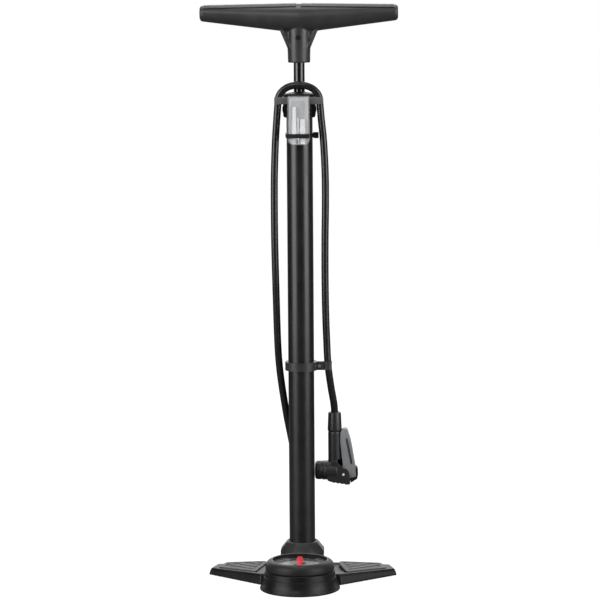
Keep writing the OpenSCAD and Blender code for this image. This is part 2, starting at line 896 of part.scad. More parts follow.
// One arm of the grip, as a solid of revolution along +X from the middle
module grip_arm(extra = 0) {
    axis_z = handle_top - grip_mid_r - 0.2;
    nose = 3.5;
    translate([0, 0, axis_z]) rotate([0, 90 - grip_rise, 0])
        rotate_extrude() polygon(concat(
            [[0, -2], [grip_mid_r + extra, -2], [grip_mid_r + extra, 0]],
            arc([grip_end_r + extra - nose, grip_half - nose], nose, 4, 90, 6),
            [[0, grip_half]]
        ));
}

module handle_grip() {
    color(DARK)
    difference() {
        union() {
            for (side = [0, 1]) mirror([side, 0, 0]) {
                intersection() {
                    grip_arm();
                    block([-0.5, -30, 500], [130, 30, 700]);
                }
                // web that runs from the neck out under the arm, with a rim on its edge
                slab_xz(2.4) polygon([[8, 588], [neck_r + 0.3, 588], [20.8, 606], [18, 612], [8, 612]]);
                slab_xz(8.6) polygon([[neck_r - 0.2, 586], [neck_r + 0.5, 588], [20.9, 606.5], [17.8, 606.5], [9.8, 588]]);
            }
            rotate_extrude() polygon([
                [0, neck_low], [neck_r - 0.7, neck_low], [neck_r - 0.2, neck_low + 0.7],
                [neck_r + 0.2, 588], [neck_r + 0.2, 612], [0, 612]
            ]);
        }
        ring(rod_r + 0.02, 0, 560, 607.1);
        translate([0, 0, 597.5]) bar_y(1.7, -20, 0);
        translate([0, 0, 597.5]) bar_y(2.7, -20, -neck_r + 2.2);
    }
}

// Soft strip let into the top of one arm
module grip_pad() {
    intersection() {
        difference() {
            grip_arm(0.9);
            grip_arm(0.02);
        }
        translate([0, 0, 600]) linear_extrude(60)
            offset(r = 3) offset(delta = -3)
                polygon([[3.2, -10.5], [103.5, -5.6], [103.5, 5.6], [3.2, 10.5]]);
        block([0, -20, handle_top - 14], [130, 20, handle_top + 10]);
    }
}

module right_grip_pad() {
    color(RUBBER) grip_pad();
}

module left_grip_pad() {
    color(RUBBER) mirror([1, 0, 0]) grip_pad();
}

module handle_screw() {
    color(STEEL) translate([0, 0, 597.5])
    difference() {
        union() {
            bar_y(1.58, -neck_r + 1, 3);
            bar_y(2.6, -neck_r + 0.9, -neck_r + 2.15);
        }
        for (a = [0, 90]) rotate([0, a, 0])
            block([-1.6, -neck_r, -0.35], [1.6, -neck_r + 1.5, 0.35]);
    }
}

// ---------- pump head ----------

module at_head() {
    translate([head_x, head_y, 0]) children();
}

module at_nozzle() {
    at_head() translate([0, 0, nozzle_z]) children();
}

module hose_sleeve() {
    z0 = sleeve_z[0];
    z1 = sleeve_z[1];
    color(DARK) at_head()
    difference() {
        rotate_extrude() polygon(concat(
            [[0, z0], [7.7, z0], [7.9, z0 + 1.5], [7.1, z1 - 1]],
            arc([6, z1 - 1.1], 1.1, 5, 90, 4),
            [[0, z1]]
        ));
        ring(5.3, 0, z0 - 1, z1 - 4);
        ring(hose_r + 0.3, 0, z0, z1 + 1);
    }
}

// Side of the head that carries the lever's pin, seen from the front
module cheek_line() {
    difference() {
        polygon([
            [-9, 109], [-2, 129], [1.8, 129], [13.6, 118], [16.2, 115], [16.7, 112],
            [17.4, 104.3], [14, 103.6], [-7, 107]
        ]);
        // scallops for the fingers along the lower edge
        for (i = [0:4]) translate([-4 + 4.6 * i, 102.9 - 0.72 * i]) circle(r = 3.2);
    }
}

module head_body() {
    color(BLACK)
    difference() {
        union() {
            at_head() ring(head_neck_r, 0, nozzle_z - 9, 162.05);
            at_nozzle() bar_x(ring_r, ring_x[0], ring_x[1]);
            at_nozzle() bar_x(8.5, -18.3, -12);
            for (side = [-1, 1]) at_head()
                translate([0, side * (slot_half + cheek_t / 2), 0]) slab_xz(cheek_t / 2) cheek_line();
            // floor between the cheeks, under the plunger
            at_head() block([-8, -slot_half - 1, 107], [0.6, slot_half + 1, 116]);
        }
        // slot for the lever
        at_head() block([slot_left, -slot_half, 90], [40, slot_half, 131]);
        // chamber of the plunger and the gland
        at_nozzle() bar_x(gland_r + 0.1, -30, slot_left + 1);
        // air way and the turning spigot's seat
        at_head() ring(1.8, 0, nozzle_z, 152);
        at_head() ring(barb_r + RUN, 0, 149.6, 170);
        at_head() translate([pivot_x, 0, pivot_z]) bar_y(1.5, -20, 20);
    }
}

module nozzle_nut() {
    corner = 3;
    color(BLACK) at_nozzle() rotate([0, -90, 0])
    difference() {
        rotate_extrude() polygon(concat(
            [[0, -ring_x[0] + 0.1], [nut_r - 0.4, -ring_x[0] + 0.1], [nut_r, -ring_x[0] + 0.6]],
            arc([nut_r - corner, -mouth_x - corner], corner, 0, 90, 6),
            [[0, -mouth_x]]
        ));
        ring(8.55, 0, 10, 18.4);
        ring(gland_r + 0.1, 0, 10, 19.5);
        ring(valve_r, 0, 10, 30);
    }
}

// Rubber bush that grips the valve
module nozzle_gland() {
    color(RUBBER) at_nozzle() difference() {
        bar_x(gland_r, gland_x[0], gland_x[1]);
        bar_x(valve_r, -30, 0);
    }
}

module head_plunger() {
    color(GREY) at_nozzle() difference() {
        union() {
            bar_x(gland_r - 0.05, plunger_x[0], plunger_x[1]);
            // pin that opens the valve
            bar_x(1, plunger_x[0] - 1.4, plunger_x[0] + 1);
        }
        block([-2.4, -2.4, -10], [2.4, 2.4, 10]);
    }
}

module lever_pin() {
    reach = slot_half + cheek_t - 0.3;
    color(STEEL) at_head() translate([pivot_x, 0, pivot_z]) bar_y(1.5, -reach, reach);
}

// Side view of the thumb lever, in X from the head's axis and in Z
module lever_line() {
    difference() {
        polygon([
            [9.4, 165.4], [13, 165.6], [14.2, 164.4], [17.6, 152.5], [21, 133], [23.2, 121], [23.9, 111.5],
            [16, 109.6], [pivot_x, 111], [slot_left + 0.9, 113], [9, 124.5], [6.3, 150], [6.5, 160], [7.4, 162.6]
        ]);
        translate([pivot_x, pivot_z]) circle(r = cam_r + 0.1);
    }
}

module slot_line(r) {
    hull() {
        translate([13.4, 153.6]) circle(r = r, $fn = 32);
        translate([18.6, 127]) circle(r = r, $fn = 32);
    }
}

module head_lever() {
    color(GREY) at_head()
    difference() {
        slab_xz(lever_half) lever_line();
        // groove that clears the neck of the head
        ring(head_neck_r + 0.5, 0, 110, 163);
        ring(8.3, 0, 160, 170);
        slab_xz(20) slot_line(1.3);
    }
}

module lever_insert() {
    color(DARK) at_head() slab_xz(lever_half - 0.4) slot_line(1.28);
}

// Black cam on the pin, with a heel that wraps the lever's lower corner
module lever_cam() {
    color(BLACK) at_head()
    difference() {
        slab_xz(lever_half) union() {
            translate([pivot_x, pivot_z]) circle(r = cam_r);
            difference() {
                polygon([
                    [pivot_x, pivot_z - cam_r], [17.6, 108.3], [17.8, 104.6], [25.1, 109.2], [25.7, 112.6],
                    [25.4, 120], [23.5, 123], [23.2, 121], [23.9, 111.5], [16, 109.6], [pivot_x, 111]
                ]);
                translate([pivot_x, pivot_z]) circle(r = cam_r - 0.2);
            }
        }
        translate([pivot_x, 0, pivot_z]) bar_y(1.5 + RUN, -20, 20);
    }
}

// ---------- the pieces ----------

base_casting();
left_foot_pad();
right_foot_pad();
base_covers();
rubber_feet();
base_screws();
barrel();
barrel_collar();
barrel_seal();
foot_valve();
valve_disc();
valve_spring();
hose_barb();
hose_ferrule();
hose();
swivel_barb();
gauge_movement();
bourdon_tube();
hairspring();
sector_gear();
gauge_needle();
gauge_dial();
gauge_lens();
gauge_bezel();
target_marker();
marker_clip();
barrel_cap();
rod_bush();
rod_wiper();
hose_clip();
clip_screw();
accessory_case();
case_card();
cone_adapter();
valve_adapter();
ball_needle();
cable_tie();
piston();
piston_seal();
piston_nut();
piston_rod();
rod_bumper();
handle_grip();
left_grip_pad();
right_grip_pad();
handle_screw();
hose_sleeve();
head_body();
nozzle_nut();
nozzle_gland();
head_plunger();
lever_pin();
head_lever();
lever_insert();
lever_cam();
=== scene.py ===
"""Looks of a floor bike pump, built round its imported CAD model.

Each sub-assembly is a class that models its pieces by hand with Blender's operators, in metres and
in the CAD model's own frame, and dresses them and the CAD nodes that stay.
"""

import logging
import math
from dataclasses import dataclass, field
from enum import Enum

import bmesh
import bpy
from mathutils import Euler, Matrix, Vector


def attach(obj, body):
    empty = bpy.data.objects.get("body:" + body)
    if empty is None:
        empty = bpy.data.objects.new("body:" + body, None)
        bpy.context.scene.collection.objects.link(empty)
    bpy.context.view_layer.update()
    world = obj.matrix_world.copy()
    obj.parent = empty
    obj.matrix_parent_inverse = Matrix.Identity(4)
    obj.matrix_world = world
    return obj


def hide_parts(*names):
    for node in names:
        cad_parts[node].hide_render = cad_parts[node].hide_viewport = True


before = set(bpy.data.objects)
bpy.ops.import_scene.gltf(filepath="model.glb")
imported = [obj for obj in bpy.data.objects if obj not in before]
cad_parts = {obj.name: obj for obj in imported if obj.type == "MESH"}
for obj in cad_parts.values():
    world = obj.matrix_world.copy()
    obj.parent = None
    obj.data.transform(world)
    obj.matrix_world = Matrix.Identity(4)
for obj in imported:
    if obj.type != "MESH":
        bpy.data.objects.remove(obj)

log = logging.getLogger("pump")

Pair = tuple[float, float]
Point = tuple[float, float, float]
Colour = tuple[float, float, float]
Outline = list[Pair]
Piece = bpy.types.Object
Socket = bpy.types.NodeSocket

MM = 0.001


def mm(*values: float) -> Vector:
    """Turn three millimetre values into a point in metres.

    Args:
        values: The three coordinates in millimetres.

    Returns:
        The same point in metres.
    """
    return Vector(values) * MM


# ---------- finishes ----------


class Tree:
    """A node tree under construction."""

    def __init__(self, owner: bpy.types.Material | bpy.types.World, output: str) -> None:
        """Empty a material's or a world's node tree and give it an output.

        Args:
            owner: The material or the world.
            output: Kind of the output node.
        """
        owner.use_nodes = True
        self.tree = owner.node_tree
        self.tree.nodes.clear()
        self.output = self.add(output)

    def add(self, kind: str, **settings: object) -> bpy.types.Node:
        """Add a node.

        Args:
            kind: Blender's type name of the node, without its ShaderNode prefix.
            settings: Properties of the node, set by name.

        Returns:
            The new node.
        """
        node = self.tree.nodes.new("ShaderNode" + kind)
        for key, value in settings.items():
            setattr(node, key, value)
        return node

    def link(self, source: Socket, target: Socket) -> None:
        """Join two sockets."""
        self.tree.links.new(source, target)

    def spread(self, value: Socket, low: float, high: float, start: float = 0.3, end: float = 0.7) -> Socket:
        """Map a value, such as a noise, onto a range.

        Args:
            value: The value.
            low: Result where the value is at its start.
            high: Result where the value is at its end.
            start: Start of the value's own range.
            end: End of the value's own range.

        Returns:
            The mapped value's socket.
        """
        span = self.add("MapRange")
        for key, bound in (("From Min", start), ("From Max", end), ("To Min", low), ("To Max", high)):
            span.inputs[key].default_value = bound
        self.link(value, span.inputs["Value"])
        return span.outputs["Result"]

    def seen(self) -> Socket:
        """Tell the rays that the camera sends, straight or through clear pieces, from all others.

        Returns:
            The socket of a value that is 1 for them and 0 for the others.
        """
        path = self.add("LightPath")
        seen = self.add("Math", operation="MAXIMUM")
        self.link(path.outputs["Is Camera Ray"], seen.inputs[0])
        self.link(path.outputs["Is Transmission Ray"], seen.inputs[1])
        return seen.outputs["Value"]


class Recipe(Tree):
    """A procedural material's node tree."""

    def __init__(self, name: str) -> None:
        """Start an empty material.

        Args:
            name: The material's name.
        """
        self.material = bpy.data.materials.new(name)
        super().__init__(self.material, "OutputMaterial")
        self.coordinates = self.add("TexCoord")

    def noise(self, scale: float, detail: float = 3.0, stretch: Point = (1, 1, 1)) -> Socket:
        """Add noise on Object coordinates.

        Args:
            scale: Number of its cells in a metre.
            detail: Octaves of finer noise in it.
            stretch: Factor of the coordinates along each axis.

        Returns:
            The noise's value socket.
        """
        place = self.add("Mapping")
        place.inputs["Scale"].default_value = stretch
        self.link(self.coordinates.outputs["Object"], place.inputs["Vector"])
        noise = self.add("TexNoise")
        noise.inputs["Scale"].default_value = scale
        noise.inputs["Detail"].default_value = detail
        self.link(place.outputs["Vector"], noise.inputs["Vector"])
        return noise.outputs["Fac"]

    def bump(self, height: Socket, strength: float, distance: float) -> Socket:
        """Turn a height into a normal.

        Args:
            height: The height's socket.
            strength: Share of the bump that is used.
            distance: Height of the bump in metres.

        Returns:
            The normal's socket.
        """
        bump = self.add("Bump")
        bump.inputs["Strength"].default_value = strength
        bump.inputs["Distance"].default_value = distance
        self.link(height, bump.inputs["Height"])
        return bump.outputs["Normal"]

    def blend(self, factor: Socket, first: Colour | Socket, second: Colour) -> Socket:
        """Blend two colours.

        Args:
            factor: Socket that chooses between them.
            first: Colour where the factor is 0, or its socket.
            second: Colour where the factor is 1.

        Returns:
            The blended colour's socket.
        """
        mix = self.add("Mix", data_type="RGBA")
        if isinstance(first, Socket):
            self.link(first, mix.inputs["A"])
        else:
            mix.inputs["A"].default_value = (*first, 1)
        mix.inputs["B"].default_value = (*second, 1)
        self.link(factor, mix.inputs["Factor"])
        return mix.outputs["Result"]


def shade(colour: Colour, factor: float) -> Colour:
    """Brighten or darken a colour."""
    return tuple(min(1.0, c * factor) for c in colour)


@dataclass(frozen=True)
class Finish:
    """A surface with its own colour, gloss and fine grain.

    Attributes:
        name: Name of the material.
        colour: Base colour, linear.
        roughness: Mean roughness.
        metallic: 1 for bare metal.
        grain: Cells of its grain in a metre.
        relief: Height of the grain in metres.
        mottle: How far the colour wanders, as a share of itself.
        streak: Factors of the grain's coordinates, for brushed or drawn surfaces.
        coat: Weight of a clear coat.
        edge: How much lighter its sharp edges are painted, a painted highlight along them.
        alpha: Opacity.
        specular: Level of its mirror-like reflection, 0.5 for plain plastic.
        index: Index of refraction.
    """

    name: str
    colour: Colour
    roughness: float
    metallic: float = 0.0
    grain: float = 1500.0
    relief: float = 0.00002
    mottle: float = 0.12
    streak: Point = (1, 1, 1)
    coat: float = 0.0
    edge: float = 0.0
    alpha: float = 1.0
    specular: float = 0.5
    index: float = 1.5

    def material(self) -> bpy.types.Material:
        """Build the material once and return it from then on.

        Returns:
            The procedural material.
        """
        known = bpy.data.materials.get(self.name)
        if known:
            return known
        recipe = Recipe(self.name)
        surface = recipe.add("BsdfPrincipled")
        for key, value in {
            "Metallic": self.metallic, "Coat Weight": self.coat, "Coat Roughness": 0.12, "Alpha": self.alpha,
            "Specular IOR Level": self.specular, "IOR": self.index,
        }.items():
            surface.inputs[key].default_value = value
        grain = recipe.noise(self.grain, 4.0, self.streak)
        patch = recipe.noise(55.0, 5.0)
        low, high = shade(self.colour, 1 - self.mottle), shade(self.colour, 1 + self.mottle)
        colour = recipe.blend(recipe.spread(patch, 0, 1), low, high)
        # sharp edges are lightened from Pointiness: a painted highlight
        if self.edge:
            sharp = recipe.spread(recipe.add("NewGeometry").outputs["Pointiness"], 0, self.edge, 0.52, 0.62)
            colour = recipe.blend(sharp, colour, shade(self.colour, 2.6))
        recipe.link(colour, surface.inputs["Base Color"])
        rough = recipe.spread(patch, self.roughness - 0.04, self.roughness + 0.05)
        recipe.link(rough, surface.inputs["Roughness"])
        recipe.link(recipe.bump(grain, 0.5, self.relief), surface.inputs["Normal"])
        recipe.link(surface.outputs["BSDF"], recipe.output.inputs["Surface"])
        return recipe.material


# edge= in these finishes paints a highlight along sharp edges
SATIN_PAINT = Finish(
    "satin_black_paint", (0.006, 0.006, 0.0065), 0.34, grain=900, relief=0.000012, mottle=0.2, coat=0.15,
)
GLOSS_ROD = Finish("gloss_black_rod", (0.005, 0.005, 0.0055), 0.2, grain=700, relief=0.000006, mottle=0.2, coat=0.3)
MOULDED_BLACK = Finish(
    "moulded_black", (0.0065, 0.0065, 0.007), 0.38, grain=2600, relief=0.00003, mottle=0.2, edge=0.3, specular=0.25,
)
COLLAR_BLACK = Finish(
    "collar_black", (0.016, 0.016, 0.017), 0.36, grain=2600, relief=0.00003, mottle=0.2, edge=0.6, specular=0.5,
)
MOULDED_DARK = Finish("moulded_dark", (0.016, 0.016, 0.017), 0.42, grain=2400, relief=0.00004, mottle=0.2, edge=0.3)
GRIP_GREY = Finish("grip_grey", (0.026, 0.026, 0.0275), 0.38, grain=2200, relief=0.00005, mottle=0.15, edge=0.2)
GRIP_STRIP = Finish("grip_strip", (0.045, 0.045, 0.047), 0.5, grain=1400, relief=0.00008, mottle=0.15)
HOSE_RUBBER = Finish("hose_black", (0.008, 0.008, 0.0085), 0.24, grain=900, relief=0.000004, mottle=0.2)
SOFT_RUBBER = Finish("soft_rubber", (0.012, 0.012, 0.012), 0.75, grain=1800, relief=0.00006, mottle=0.25)
TREAD_RUBBER = Finish("tread_rubber", (0.066, 0.066, 0.067), 0.6, grain=1600, relief=0.00007, mottle=0.2, edge=0.2)
ZINC = Finish("zinc_steel", (0.62, 0.63, 0.65), 0.3, 1.0, grain=2500, relief=0.00001, mottle=0.08)
DARK_STEEL = Finish("dark_steel", (0.03, 0.03, 0.032), 0.4, 0.6, grain=2500, relief=0.00001, mottle=0.2)
BRASS = Finish("turned_brass", (0.72, 0.5, 0.2), 0.3, 1.0, grain=1800, relief=0.00001, mottle=0.1, streak=(1, 1, 12))
ALLOY = Finish("turned_alloy", (0.7, 0.71, 0.73), 0.34, 1.0, grain=1800, relief=0.00001, mottle=0.06, streak=(1, 1, 14))
BUSH_NYLON = Finish("bush_nylon", (0.5, 0.5, 0.48), 0.5, grain=2000, relief=0.00003, mottle=0.06)
CLEAR_CASE = Finish("clear_case", (0.78, 0.79, 0.8), 0.14, grain=350, relief=0.00003, mottle=0.03, alpha=0.14)
WINDOW = Finish(
    "clear_window", (0.02, 0.02, 0.02), 0.06, grain=200, relief=0.000003, mottle=0.05, alpha=0.16, index=1.55,
)
GREY_CARD = Finish("grey_card", (0.33, 0.33, 0.34), 0.8, grain=1500, relief=0.00004, mottle=0.08)
WHITE_NYLON = Finish("white_nylon", (0.8, 0.81, 0.82), 0.42, grain=1800, relief=0.00003, mottle=0.03)
MARKER_RED = Finish("marker_red", (0.6, 0.008, 0.02), 0.45, grain=1800, relief=0.00003, mottle=0.08, specular=0.3)
NEEDLE_BLACK = Finish("needle_black", (0.012, 0.012, 0.012), 0.5, grain=1800, relief=0.00001, mottle=0.1)
LEVER_SILVER = Finish(
    "lever_silver", (0.23, 0.235, 0.245), 0.4, 0.35, grain=2600, relief=0.00004, mottle=0.08, edge=0.15,
)
BEZEL_BLACK = Finish(
    "bezel_black", (0.012, 0.0117, 0.0125), 0.48, grain=2400, relief=0.00002, mottle=0.2, edge=0.3, specular=0.28,
)
# the bezel's black at half its colour, for its inner lip: painted shade on the inner slope
LIP_PAINTED_SHADE = Finish("lip_painted_shade", (0.006, 0.006, 0.0065), 0.7, grain=2400, relief=0.00002, mottle=0.2, specular=0.2)
PIN_STEEL = Finish("pin_steel", (0.85, 0.85, 0.86), 0.4, 0.15, grain=2400, relief=0.00001, mottle=0.04)
CAP_BLACK = Finish(
    "cap_black", (0.007, 0.007, 0.0075), 0.55, grain=2400, relief=0.00004, mottle=0.15, edge=0.2, specular=0.18,
)
EAR_GREY = Finish("ear_grey", (0.085, 0.085, 0.088), 0.45, grain=2400, relief=0.00004, mottle=0.15, edge=0.2)
# pale grey for the black bezel's crest ring: a painted highlight along its top edge
CREST_PAINTED_HIGHLIGHT = Finish("crest_painted_highlight", (0.2, 0.2, 0.205), 0.3, grain=2400, relief=0.00001, mottle=0.1)
HEAD_BLACK = Finish("head_black", (0.013, 0.013, 0.0135), 0.42, grain=2600, relief=0.00003, mottle=0.2, edge=0.2)
INLAY_DARK = Finish("inlay_dark", (0.035, 0.035, 0.037), 0.5, grain=2400, relief=0.00003, mottle=0.15)
CASE_BACK = Finish("case_back", (0.43, 0.435, 0.445), 0.45, grain=1500, relief=0.00003, mottle=0.03)
DIAL_SILVER = Finish("dial_silver", (0.58, 0.585, 0.59), 0.45, grain=2600, relief=0.00001, mottle=0.04)
DIAL_DARK = Finish("dial_dark", (0.02, 0.02, 0.021), 0.5, grain=2600, relief=0.00001, mottle=0.1)
DIAL_PALE = Finish("dial_pale", (0.7, 0.7, 0.71), 0.5, grain=2600, relief=0.00001, mottle=0.05)
DIAL_RED = Finish("dial_red", (0.5, 0.05, 0.07), 0.5, grain=2600, relief=0.00001, mottle=0.05)
TIE_NYLON = Finish("tie_nylon", (0.012, 0.012, 0.013), 0.3, grain=1500, relief=0.00004, mottle=0.2)

NODE_FINISHES: dict[str, Finish] = {
    "base_casting": MOULDED_BLACK, "left_foot_pad": TREAD_RUBBER, "right_foot_pad": TREAD_RUBBER,
    "base_covers": MOULDED_DARK, "rubber_feet": SOFT_RUBBER, "base_screws": ZINC, "barrel": SATIN_PAINT,
    "barrel_collar": MOULDED_BLACK, "barrel_seal": SOFT_RUBBER, "foot_valve": ALLOY, "valve_disc": SOFT_RUBBER,
    "valve_spring": ZINC, "hose_barb": BRASS, "hose_ferrule": ALLOY, "hose": HOSE_RUBBER, "swivel_barb": BRASS,
    "gauge_movement": BRASS, "bourdon_tube": BRASS, "hairspring": ZINC, "sector_gear": BRASS,
    "gauge_needle": NEEDLE_BLACK, "gauge_dial": WHITE_NYLON, "gauge_lens": WINDOW, "gauge_bezel": MOULDED_DARK,
    "target_marker": MARKER_RED, "marker_clip": MARKER_RED, "barrel_cap": MOULDED_DARK, "rod_bush": BUSH_NYLON,
    "rod_wiper": SOFT_RUBBER, "hose_clip": MOULDED_DARK, "clip_screw": ZINC, "accessory_case": CLEAR_CASE,
    "case_card": GREY_CARD, "cone_adapter": WHITE_NYLON, "valve_adapter": WHITE_NYLON, "ball_needle": ALLOY,
    "cable_tie": TIE_NYLON, "piston": ALLOY, "piston_seal": SOFT_RUBBER, "piston_nut": ZINC,
    "piston_rod": GLOSS_ROD, "rod_bumper": SOFT_RUBBER, "handle_grip": GRIP_GREY, "left_grip_pad": GRIP_STRIP,
    "right_grip_pad": GRIP_STRIP, "handle_screw": DARK_STEEL, "hose_sleeve": MOULDED_DARK, "head_body": MOULDED_BLACK,
    "nozzle_nut": MOULDED_BLACK, "nozzle_gland": SOFT_RUBBER, "head_plunger": BUSH_NYLON, "lever_pin": PIN_STEEL,
    "head_lever": LEVER_SILVER, "lever_insert": MOULDED_BLACK, "lever_cam": MOULDED_BLACK,
}


def dress(piece: Piece, finish: Finish) -> Piece:
    """Give a piece one finish all over.

    Args:
        piece: The piece to dress.
        finish: Its finish.

    Returns:
        The same piece.
    """
    piece.data.materials.clear()
    piece.data.materials.append(finish.material())
    return piece


# ---------- modelling by hand ----------


class Bench:
    """The operators that shape a piece, in the order a modeller uses them."""

    @staticmethod
    def clear() -> None:
        """Leave edit mode and deselect everything."""
        if bpy.context.object and bpy.context.object.mode != "OBJECT":
            bpy.ops.object.mode_set(mode="OBJECT")
        bpy.ops.object.select_all(action="DESELECT")

    @staticmethod
    def take(*pieces: Piece) -> None:
        """Select some pieces, the first one active.

        Args:
            pieces: The pieces.
        """
        Bench.clear()
        for piece in pieces:
            piece.select_set(True)
        bpy.context.view_layer.objects.active = pieces[0]

    @staticmethod
    def draw(name: str, points: list[Vector]) -> Piece:
        """Draw a line of edges by extruding one vertex from point to point.

        Args:
            name: Name of the new piece.
            points: The line's points in metres.

        Returns:
            The piece, left in edit mode with its last vertex selected.
        """
        Bench.clear()
        bpy.ops.mesh.primitive_plane_add(size=MM, location=(0, 0, 0))
        piece = bpy.context.object
        piece.name = name
        bpy.ops.object.mode_set(mode="EDIT")
        bpy.ops.mesh.select_all(action="SELECT")
        bpy.ops.mesh.merge(type="CENTER")
        bpy.ops.transform.translate(value=points[0])
        for here, there in zip(points, points[1:]):
            bpy.ops.mesh.extrude_region_move(TRANSFORM_OT_translate={"value": there - here})
        return piece

    @staticmethod
    def close() -> None:
        """Merge doubles, point the faces outwards and leave edit mode."""
        bpy.ops.mesh.select_all(action="SELECT")
        bpy.ops.mesh.remove_doubles(threshold=0.000004)
        bpy.ops.mesh.normals_make_consistent(inside=False)
        bpy.ops.object.mode_set(mode="OBJECT")

    @staticmethod
    def lathe(name: str, profile: Outline, steps: int = 64) -> Piece:
        """Spin a profile round the Z axis.

        Args:
            name: Name of the new piece.
            profile: Radius and height of each point, in millimetres.
            steps: Number of steps round the axis.

        Returns:
            The new piece, about the origin.
        """
        piece = Bench.draw(name, [mm(r, 0, z) for r, z in profile])
        bpy.ops.mesh.select_all(action="SELECT")
        bpy.ops.mesh.spin(steps=steps, angle=math.tau, center=(0, 0, 0), axis=(0, 0, 1))
        Bench.close()
        return piece

    @staticmethod
    def ring(name: str, profile: Outline, steps: int = 96) -> Piece:
        """Spin a profile that closes on its first point round the Z axis."""
        return Bench.lathe(name, profile + profile[:1], steps)

    @staticmethod
    def rod(name: str, radius: float, low: float, high: float, steps: int = 64) -> Piece:
        """Make a plain round rod about the Z axis."""
        return Bench.lathe(name, [(0, low), (radius, low), (radius, high), (0, high)], steps)

    @staticmethod
    def slab(name: str, outline: Outline, low: float, high: float, upright: bool = True) -> Piece:
        """Extrude an outline into a slab.

        Args:
            name: Name of the new piece.
            outline: Points in X and Z if upright, else in X and Y, in millimetres.
            low: Lowest place across the outline, in millimetres.
            high: Highest place across the outline, in millimetres.
            upright: Whether the outline stands in X and Z.

        Returns:
            The new piece.
        """
        points = [mm(a, low, b) if upright else mm(a, b, low) for a, b in outline]
        piece = Bench.draw(name, points)
        bpy.ops.mesh.select_all(action="SELECT")
        bpy.ops.mesh.edge_face_add()
        way = mm(0, high - low, 0) if upright else mm(0, 0, high - low)
        bpy.ops.mesh.extrude_region_move(TRANSFORM_OT_translate={"value": way})
        Bench.close()
        return piece

    @staticmethod
    def loft(name: str, rings: list[list[Point]]) -> Piece:
        """Extrude an outline from ring to ring, and move each of its corners to its place there.

        Args:
            name: Name of the new piece.
            rings: Outlines with the same number of corners, from the lowest up, in millimetres.

        Returns:
            The new piece, closed at both ends.
        """
        piece = Bench.draw(name, [mm(*p) for p in rings[0]])
        bpy.ops.mesh.select_all(action="SELECT")
        bpy.ops.mesh.edge_face_add()
        for lower, upper in zip(rings, rings[1:]):
            bpy.ops.mesh.extrude_region_move(TRANSFORM_OT_translate={"value": (0, 0, 0)})
            fresh = [v.index for v in bmesh.from_edit_mesh(piece.data).verts if v.select]
            for index in fresh:
                place = Bench.pick(piece, [index])
                corner = min(range(len(lower)), key=lambda k: (mm(*lower[k]) - place).length)
                bpy.ops.transform.translate(value=mm(*upper[corner]) - mm(*lower[corner]))
            Bench.pick(piece, fresh)
        Bench.close()
        return piece

    @staticmethod
    def pick(piece: Piece, indices: list[int]) -> Vector:
        """Select some vertices of the piece in edit mode, with the edges and faces between them.

        Args:
            piece: The piece in edit mode.
            indices: The vertices' numbers.

        Returns:
            Where the first of them lies.
        """
        mesh = bmesh.from_edit_mesh(piece.data)
        mesh.verts.ensure_lookup_table()
        for vertex in mesh.verts:
            vertex.select_set(False)
        for index in indices:
            mesh.verts[index].select_set(True)
        mesh.select_mode = {"VERT"}
        mesh.select_flush_mode()
        bmesh.update_edit_mesh(piece.data)
        return mesh.verts[indices[0]].co.copy()

    @staticmethod
    def limb(name: str, sections: list[tuple[Point, float, float]], turn: Point, sides: int = 32) -> Piece:
        """Extrude a round section along a limb, resizing it as it goes.

        Args:
            name: Name of the new piece.
            sections: Centre in millimetres, and half sizes along the section's own X and Y, in order.
            turn: Rotation of the sections in degrees.
            sides: Number of points round a section.

        Returns:
            The new piece, closed at both ends.
        """
        Bench.clear()
        turned = [math.radians(a) for a in turn]
        bpy.ops.mesh.primitive_circle_add(vertices=sides, radius=MM, fill_type="NGON", location=(0, 0, 0))
        piece = bpy.context.object
        piece.name = name
        bpy.ops.object.mode_set(mode="EDIT")
        bpy.ops.mesh.select_all(action="SELECT")
        centre, wide, deep = sections[0]
        bpy.ops.transform.resize(value=(wide, deep, 1), center_override=(0, 0, 0))
        bpy.ops.object.mode_set(mode="OBJECT")
        piece.rotation_euler = turned
        piece.location = mm(*centre)
        Bench.settle(piece)
        bpy.ops.object.mode_set(mode="EDIT")
        bpy.ops.mesh.select_all(action="SELECT")
        spin = Euler(turned).to_matrix()
        across, along = spin @ Vector((1, 0, 0)), spin @ Vector((0, 1, 0))
        for (here, w0, d0), (there, w1, d1) in zip(sections, sections[1:]):
            bpy.ops.mesh.extrude_region_move(TRANSFORM_OT_translate={"value": mm(*there) - mm(*here)})
            for axis, ratio in ((across, w1 / w0), (along, d1 / d0)):
                value = tuple(1 + (ratio - 1) * abs(round(c, 6)) for c in axis)
                bpy.ops.transform.resize(value=value, center_override=mm(*there))
        Bench.close()
        return piece

    @staticmethod
    def settle(piece: Piece) -> Piece:
        """Apply a piece's place, turn and size to its mesh.

        Args:
            piece: The piece.

        Returns:
            The same piece.
        """
        Bench.take(piece)
        bpy.ops.object.transform_apply(location=True, rotation=True, scale=True)
        return piece

    @staticmethod
    def place(piece: Piece, at: Point = (0, 0, 0), turn: Point = (0, 0, 0)) -> Piece:
        """Turn a piece about the origin and move it.

        Args:
            piece: The piece to place.
            at: New place in millimetres.
            turn: Turn in degrees about X, Y and Z.

        Returns:
            The same piece, with its place in its mesh.
        """
        piece.rotation_euler = tuple(math.radians(a) for a in turn)
        piece.location = mm(*at)
        return Bench.settle(piece)

    @staticmethod
    def mirror(piece: Piece) -> Piece:
        """Mirror a piece in X.

        Args:
            piece: The piece.

        Returns:
            The same piece.
        """
        Bench.take(piece)
        bpy.ops.transform.mirror(
            orient_type="GLOBAL", constraint_axis=(True, False, False), center_override=(0, 0, 0)
        )
        Bench.settle(piece)
        bpy.ops.object.mode_set(mode="EDIT")
        Bench.close()
        return piece

